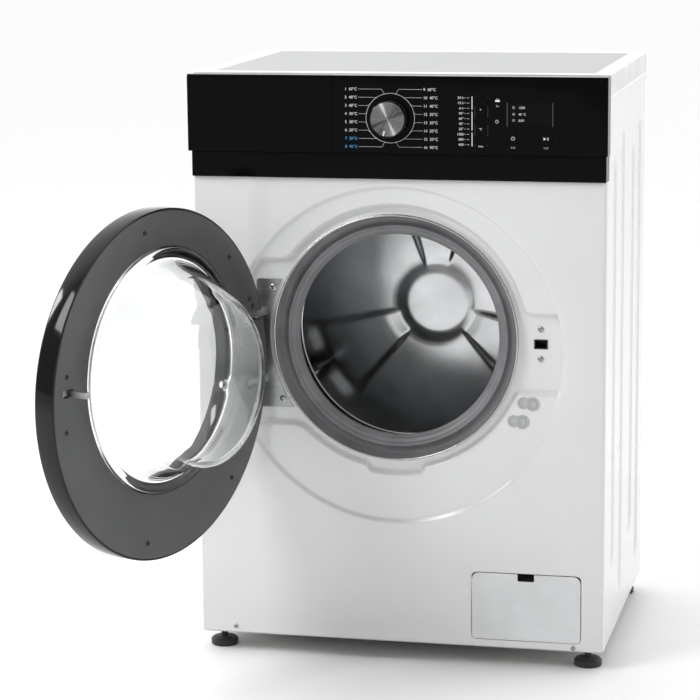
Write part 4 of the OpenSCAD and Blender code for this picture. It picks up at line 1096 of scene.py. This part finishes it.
side = Vector((-along.y, along.x)) * 0.0009
ends = [Vector((KNOB_X, KNOB_Z)) + along * r for r in (KNOB_R - 0.0100, KNOB_R - 0.0032)]
mark = [tuple(p) for p in (ends[0] + side, ends[0] - side, ends[1] - side, ends[1] + side)]
piece("knob_pointer", [(x, KNOB_FRONT + 0.0004, z) for x, z in mark], [(0, 1, 2, 3)],
      slot_of["programme_knob"], "knob", INK)
print("knob radius", round(KNOB_R, 4))

# %% [markdown]
# Everything the user reads is printed on the black panel: a ring round the knob with a thin leader
# to each programme, a column of values with a dot and a bar beside each, captions at the buttons and
# two symbols. Only plain numbers, times and temperatures are used. Each run of text is a flat mesh
# lying a hair in front of the panel.

# %% Set up the printing
PRINT_Y = FASCIA_Y - 0.00006
BUTTON_PRINT = {name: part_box(name)[0].y - 0.00005 for name in ("button_power", "button_start")}
ink_parts = {"white": [], "blue": [], "faint": []}


def letters(text, x, z, size, kind="white", align="LEFT", y=PRINT_Y):
    curve = bpy.data.curves.new("text", "FONT")
    curve.body, curve.size, curve.align_x = text, size, align
    curve.resolution_u = 3
    holder = bpy.data.objects.new("text", curve)
    bpy.context.scene.collection.objects.link(holder)
    bpy.context.view_layer.update()
    mesh = holder.to_mesh()
    corners = [(x + v.co.x, y, z + v.co.y) for v in mesh.vertices]
    faces = [tuple(f.vertices) for f in mesh.polygons]
    holder.to_mesh_clear()
    bpy.data.objects.remove(holder)
    bpy.data.curves.remove(curve)
    ink_parts[kind].append((corners, faces))


def stroke(points, width, kind="white", y=PRINT_Y):
    """A printed line through (x, z) points."""
    for (x0, z0), (x1, z1) in zip(points, points[1:]):
        run = Vector((x1 - x0, z1 - z0)).normalized()
        off = Vector((-run.y, run.x)) * width / 2
        add = run * width / 2
        quad = [(x0 - add.x + off.x, z0 - add.y + off.y), (x0 - add.x - off.x, z0 - add.y - off.y),
                (x1 + add.x - off.x, z1 + add.y - off.y), (x1 + add.x + off.x, z1 + add.y + off.y)]
        ink_parts[kind].append(([(x, y, z) for x, z in quad], [(0, 1, 2, 3)]))


def arc(x, z, radius, start, end, width, kind="white", y=PRINT_Y, steps=48):
    """A printed ring, or part of one, as a strip of faces."""
    angles = [math.radians(start + (end - start) * i / steps) for i in range(steps + 1)]
    corners = [(x + r * math.cos(a), y, z + r * math.sin(a)) for a in angles
               for r in (radius - width / 2, radius + width / 2)]
    ink_parts[kind].append((corners, [(2 * i, 2 * i + 1, 2 * i + 3, 2 * i + 2) for i in range(steps)]))


def dot(x, z, radius, kind="white", y=PRINT_Y):
    arc(x, z, radius / 2, 0, 360, radius, kind, y, 16)


print("printing tools ready")

# %% Print the dial
DIAL_R = 0.0344
LEADERS = [0.040, 0.0286, 0.0171, 0.0057, -0.0057, -0.0171, -0.0286, -0.040]
arc(KNOB_X, KNOB_Z, DIAL_R, 0, 360, 0.00045, steps=120)
LEFT_NAMES = [str(i) for i in range(1, 9)]
RIGHT_NAMES = [str(i) for i in range(9, 17)]
HEAT = ["60", "40", "40", "30", "30", "20", "20", "90"]
WIDE = 0.0335
FIRST_LEADER, LEADERS_IN_HALF = 0.62, 8.24
for side, names in ((-1, LEFT_NAMES), (1, RIGHT_NAMES)):
    for i, lift in enumerate(LEADERS):
        end_x = KNOB_X + side * (WIDE + 0.0115)
        bend = math.radians(90 - (i + FIRST_LEADER) * 180 / LEADERS_IN_HALF)
        ring_x = KNOB_X + side * DIAL_R * math.cos(bend)
        ring_z = KNOB_Z + DIAL_R * math.sin(bend)
        elbow_x = max(DIAL_R * math.cos(bend) + 0.0035, 0.012)
        stroke([(ring_x, ring_z), (KNOB_X + side * elbow_x, KNOB_Z + lift), (end_x, KNOB_Z + lift)], 0.0003)
        dot(ring_x, ring_z, 0.0007)
        kind = "blue" if side < 0 and i > 5 else "white"
        number, align = names[i], "RIGHT" if side < 0 else "LEFT"
        letters(f"{number}  {HEAT[i]}°C", end_x + side * 0.0018, KNOB_Z + lift - 0.0019, 0.0056, kind, align)
print("programmes", len(LEFT_NAMES) + len(RIGHT_NAMES))

# %% Print the value column
VALUES = ["24 h", "12 h", "6 h", "90°", "60°", "40°", "20°", "1200", "800", "400"]
PITCH_Z = 0.00717
TOP_Z = 0.8143
for i, value in enumerate(VALUES):
    z = TOP_Z - i * PITCH_Z
    letters(value, 0.0982, z - 0.0016, 0.0048, align="RIGHT")
    dot(0.1002, z, 0.0005)
    stroke([(0.1032, z), (0.1056, z)], 0.0005)
for high, low in ((0.816, 0.7985), (0.7946, 0.7699), (0.766, 0.748)):
    stroke([(0.1100, low), (0.1100, high)], 0.0011)
for text, z in (("h", 0.7968), ("°C", 0.7701), ("/min", 0.7464)):
    letters(text, 0.122, z, 0.0040, align="CENTER")
print("values", len(VALUES))

# %% Print the button side
arc(0.1455, 0.8122, 0.0012, 0, 180, 0.0004, steps=20)
stroke([(0.1436, 0.8104), (0.1474, 0.8104)], 0.0026)
letters("3 s", 0.1455, 0.8022, 0.0036, align="CENTER")
arc(0.1448, 0.782, 0.0021, 0, 360, 0.0004, steps=32)
stroke([(0.1448, 0.782), (0.1448, 0.7834)], 0.0003)
stroke([(0.1448, 0.782), (0.1458, 0.782)], 0.0003)
for x in (0.1588, 0.2220):
    stroke([(x, 0.776), (x, 0.808)], 0.0008, "faint")
for x in (0.1140, 0.1320):
    stroke([(x, 0.748), (x, 0.815)], 0.0003, "faint")
for z, text in ((0.8014, "1200"), (0.7923, "40 °C"), (0.7839, "0:59")):
    arc(0.1678, z + 0.0002, 0.0014, 0, 360, 0.0004, steps=24)
    letters(text, 0.1745, z - 0.0016, 0.0045)
power_y = BUTTON_PRINT["button_power"]
start_y = BUTTON_PRINT["button_start"]
for x in (0.1584, 0.1759, 0.2038, 0.2211):
    stroke([(x, 0.7525), (x, 0.7655)], 0.0003, "faint")
letters("I / 0", 0.1670, 0.7452, 0.0036, align="CENTER")
letters("1 / 2", 0.2125, 0.7452, 0.0036, align="CENTER")


def collect_ink(name, finish, kind, body="cabinet"):
    made = piece(name, *joined(*ink_parts[kind]), "white_plastic", body, finish)
    ink_parts[kind].clear()
    return made


for name, finish, kind in (("printing_white", INK, "white"), ("printing_blue", BLUE_INK, "blue"),
                           ("printing_faint", FAINT_INK, "faint")):
    print(name, len(collect_ink(name, finish, kind).data.polygons))

# %% Print the two button symbols
arc(0.1670, 0.7590, 0.0024, 118, 422, 0.0005, y=power_y, steps=40)
stroke([(0.1670, 0.7594), (0.1670, 0.7622)], 0.0005, y=power_y)
collect_ink("printing_power", INK, "white", "power_button")
ARROW = [(0.2094, 0.7612), (0.2094, 0.7568), (0.2126, 0.7590)]
ink_parts["white"].append(([(x, start_y, z) for x, z in ARROW], [(0, 1, 2)]))
for x in (0.2145, 0.2161):
    stroke([(x, 0.7574), (x, 0.7606)], 0.0006, y=start_y)
collect_ink("printing_start", INK, "white", "start_button")
print("symbols 2")

# %% [markdown]
# A plain pale floor carries the machine and catches its soft shadow. The last lines print the CAD
# model's box, which the dressed machine has to fill as well.

# %% Lay the floor and measure
size = 60.0
floor_mesh = bpy.data.meshes.new("floor")
floor_corners = [(-size, -size, 0), (size, -size, 0), (size, size, 0), (-size, size, 0)]
floor_mesh.from_pydata(floor_corners, [], [(0, 1, 2, 3)])
floor = bpy.data.objects.new("floor", floor_mesh)
bpy.context.scene.collection.objects.link(floor)
floor_mesh.materials.append(plain("pale_floor", (0.93, 0.93, 0.93), 0.6)[0])
bpy.context.view_layer.update()
print("cad", [round(c, 4) for corner in cad_box for c in corner])
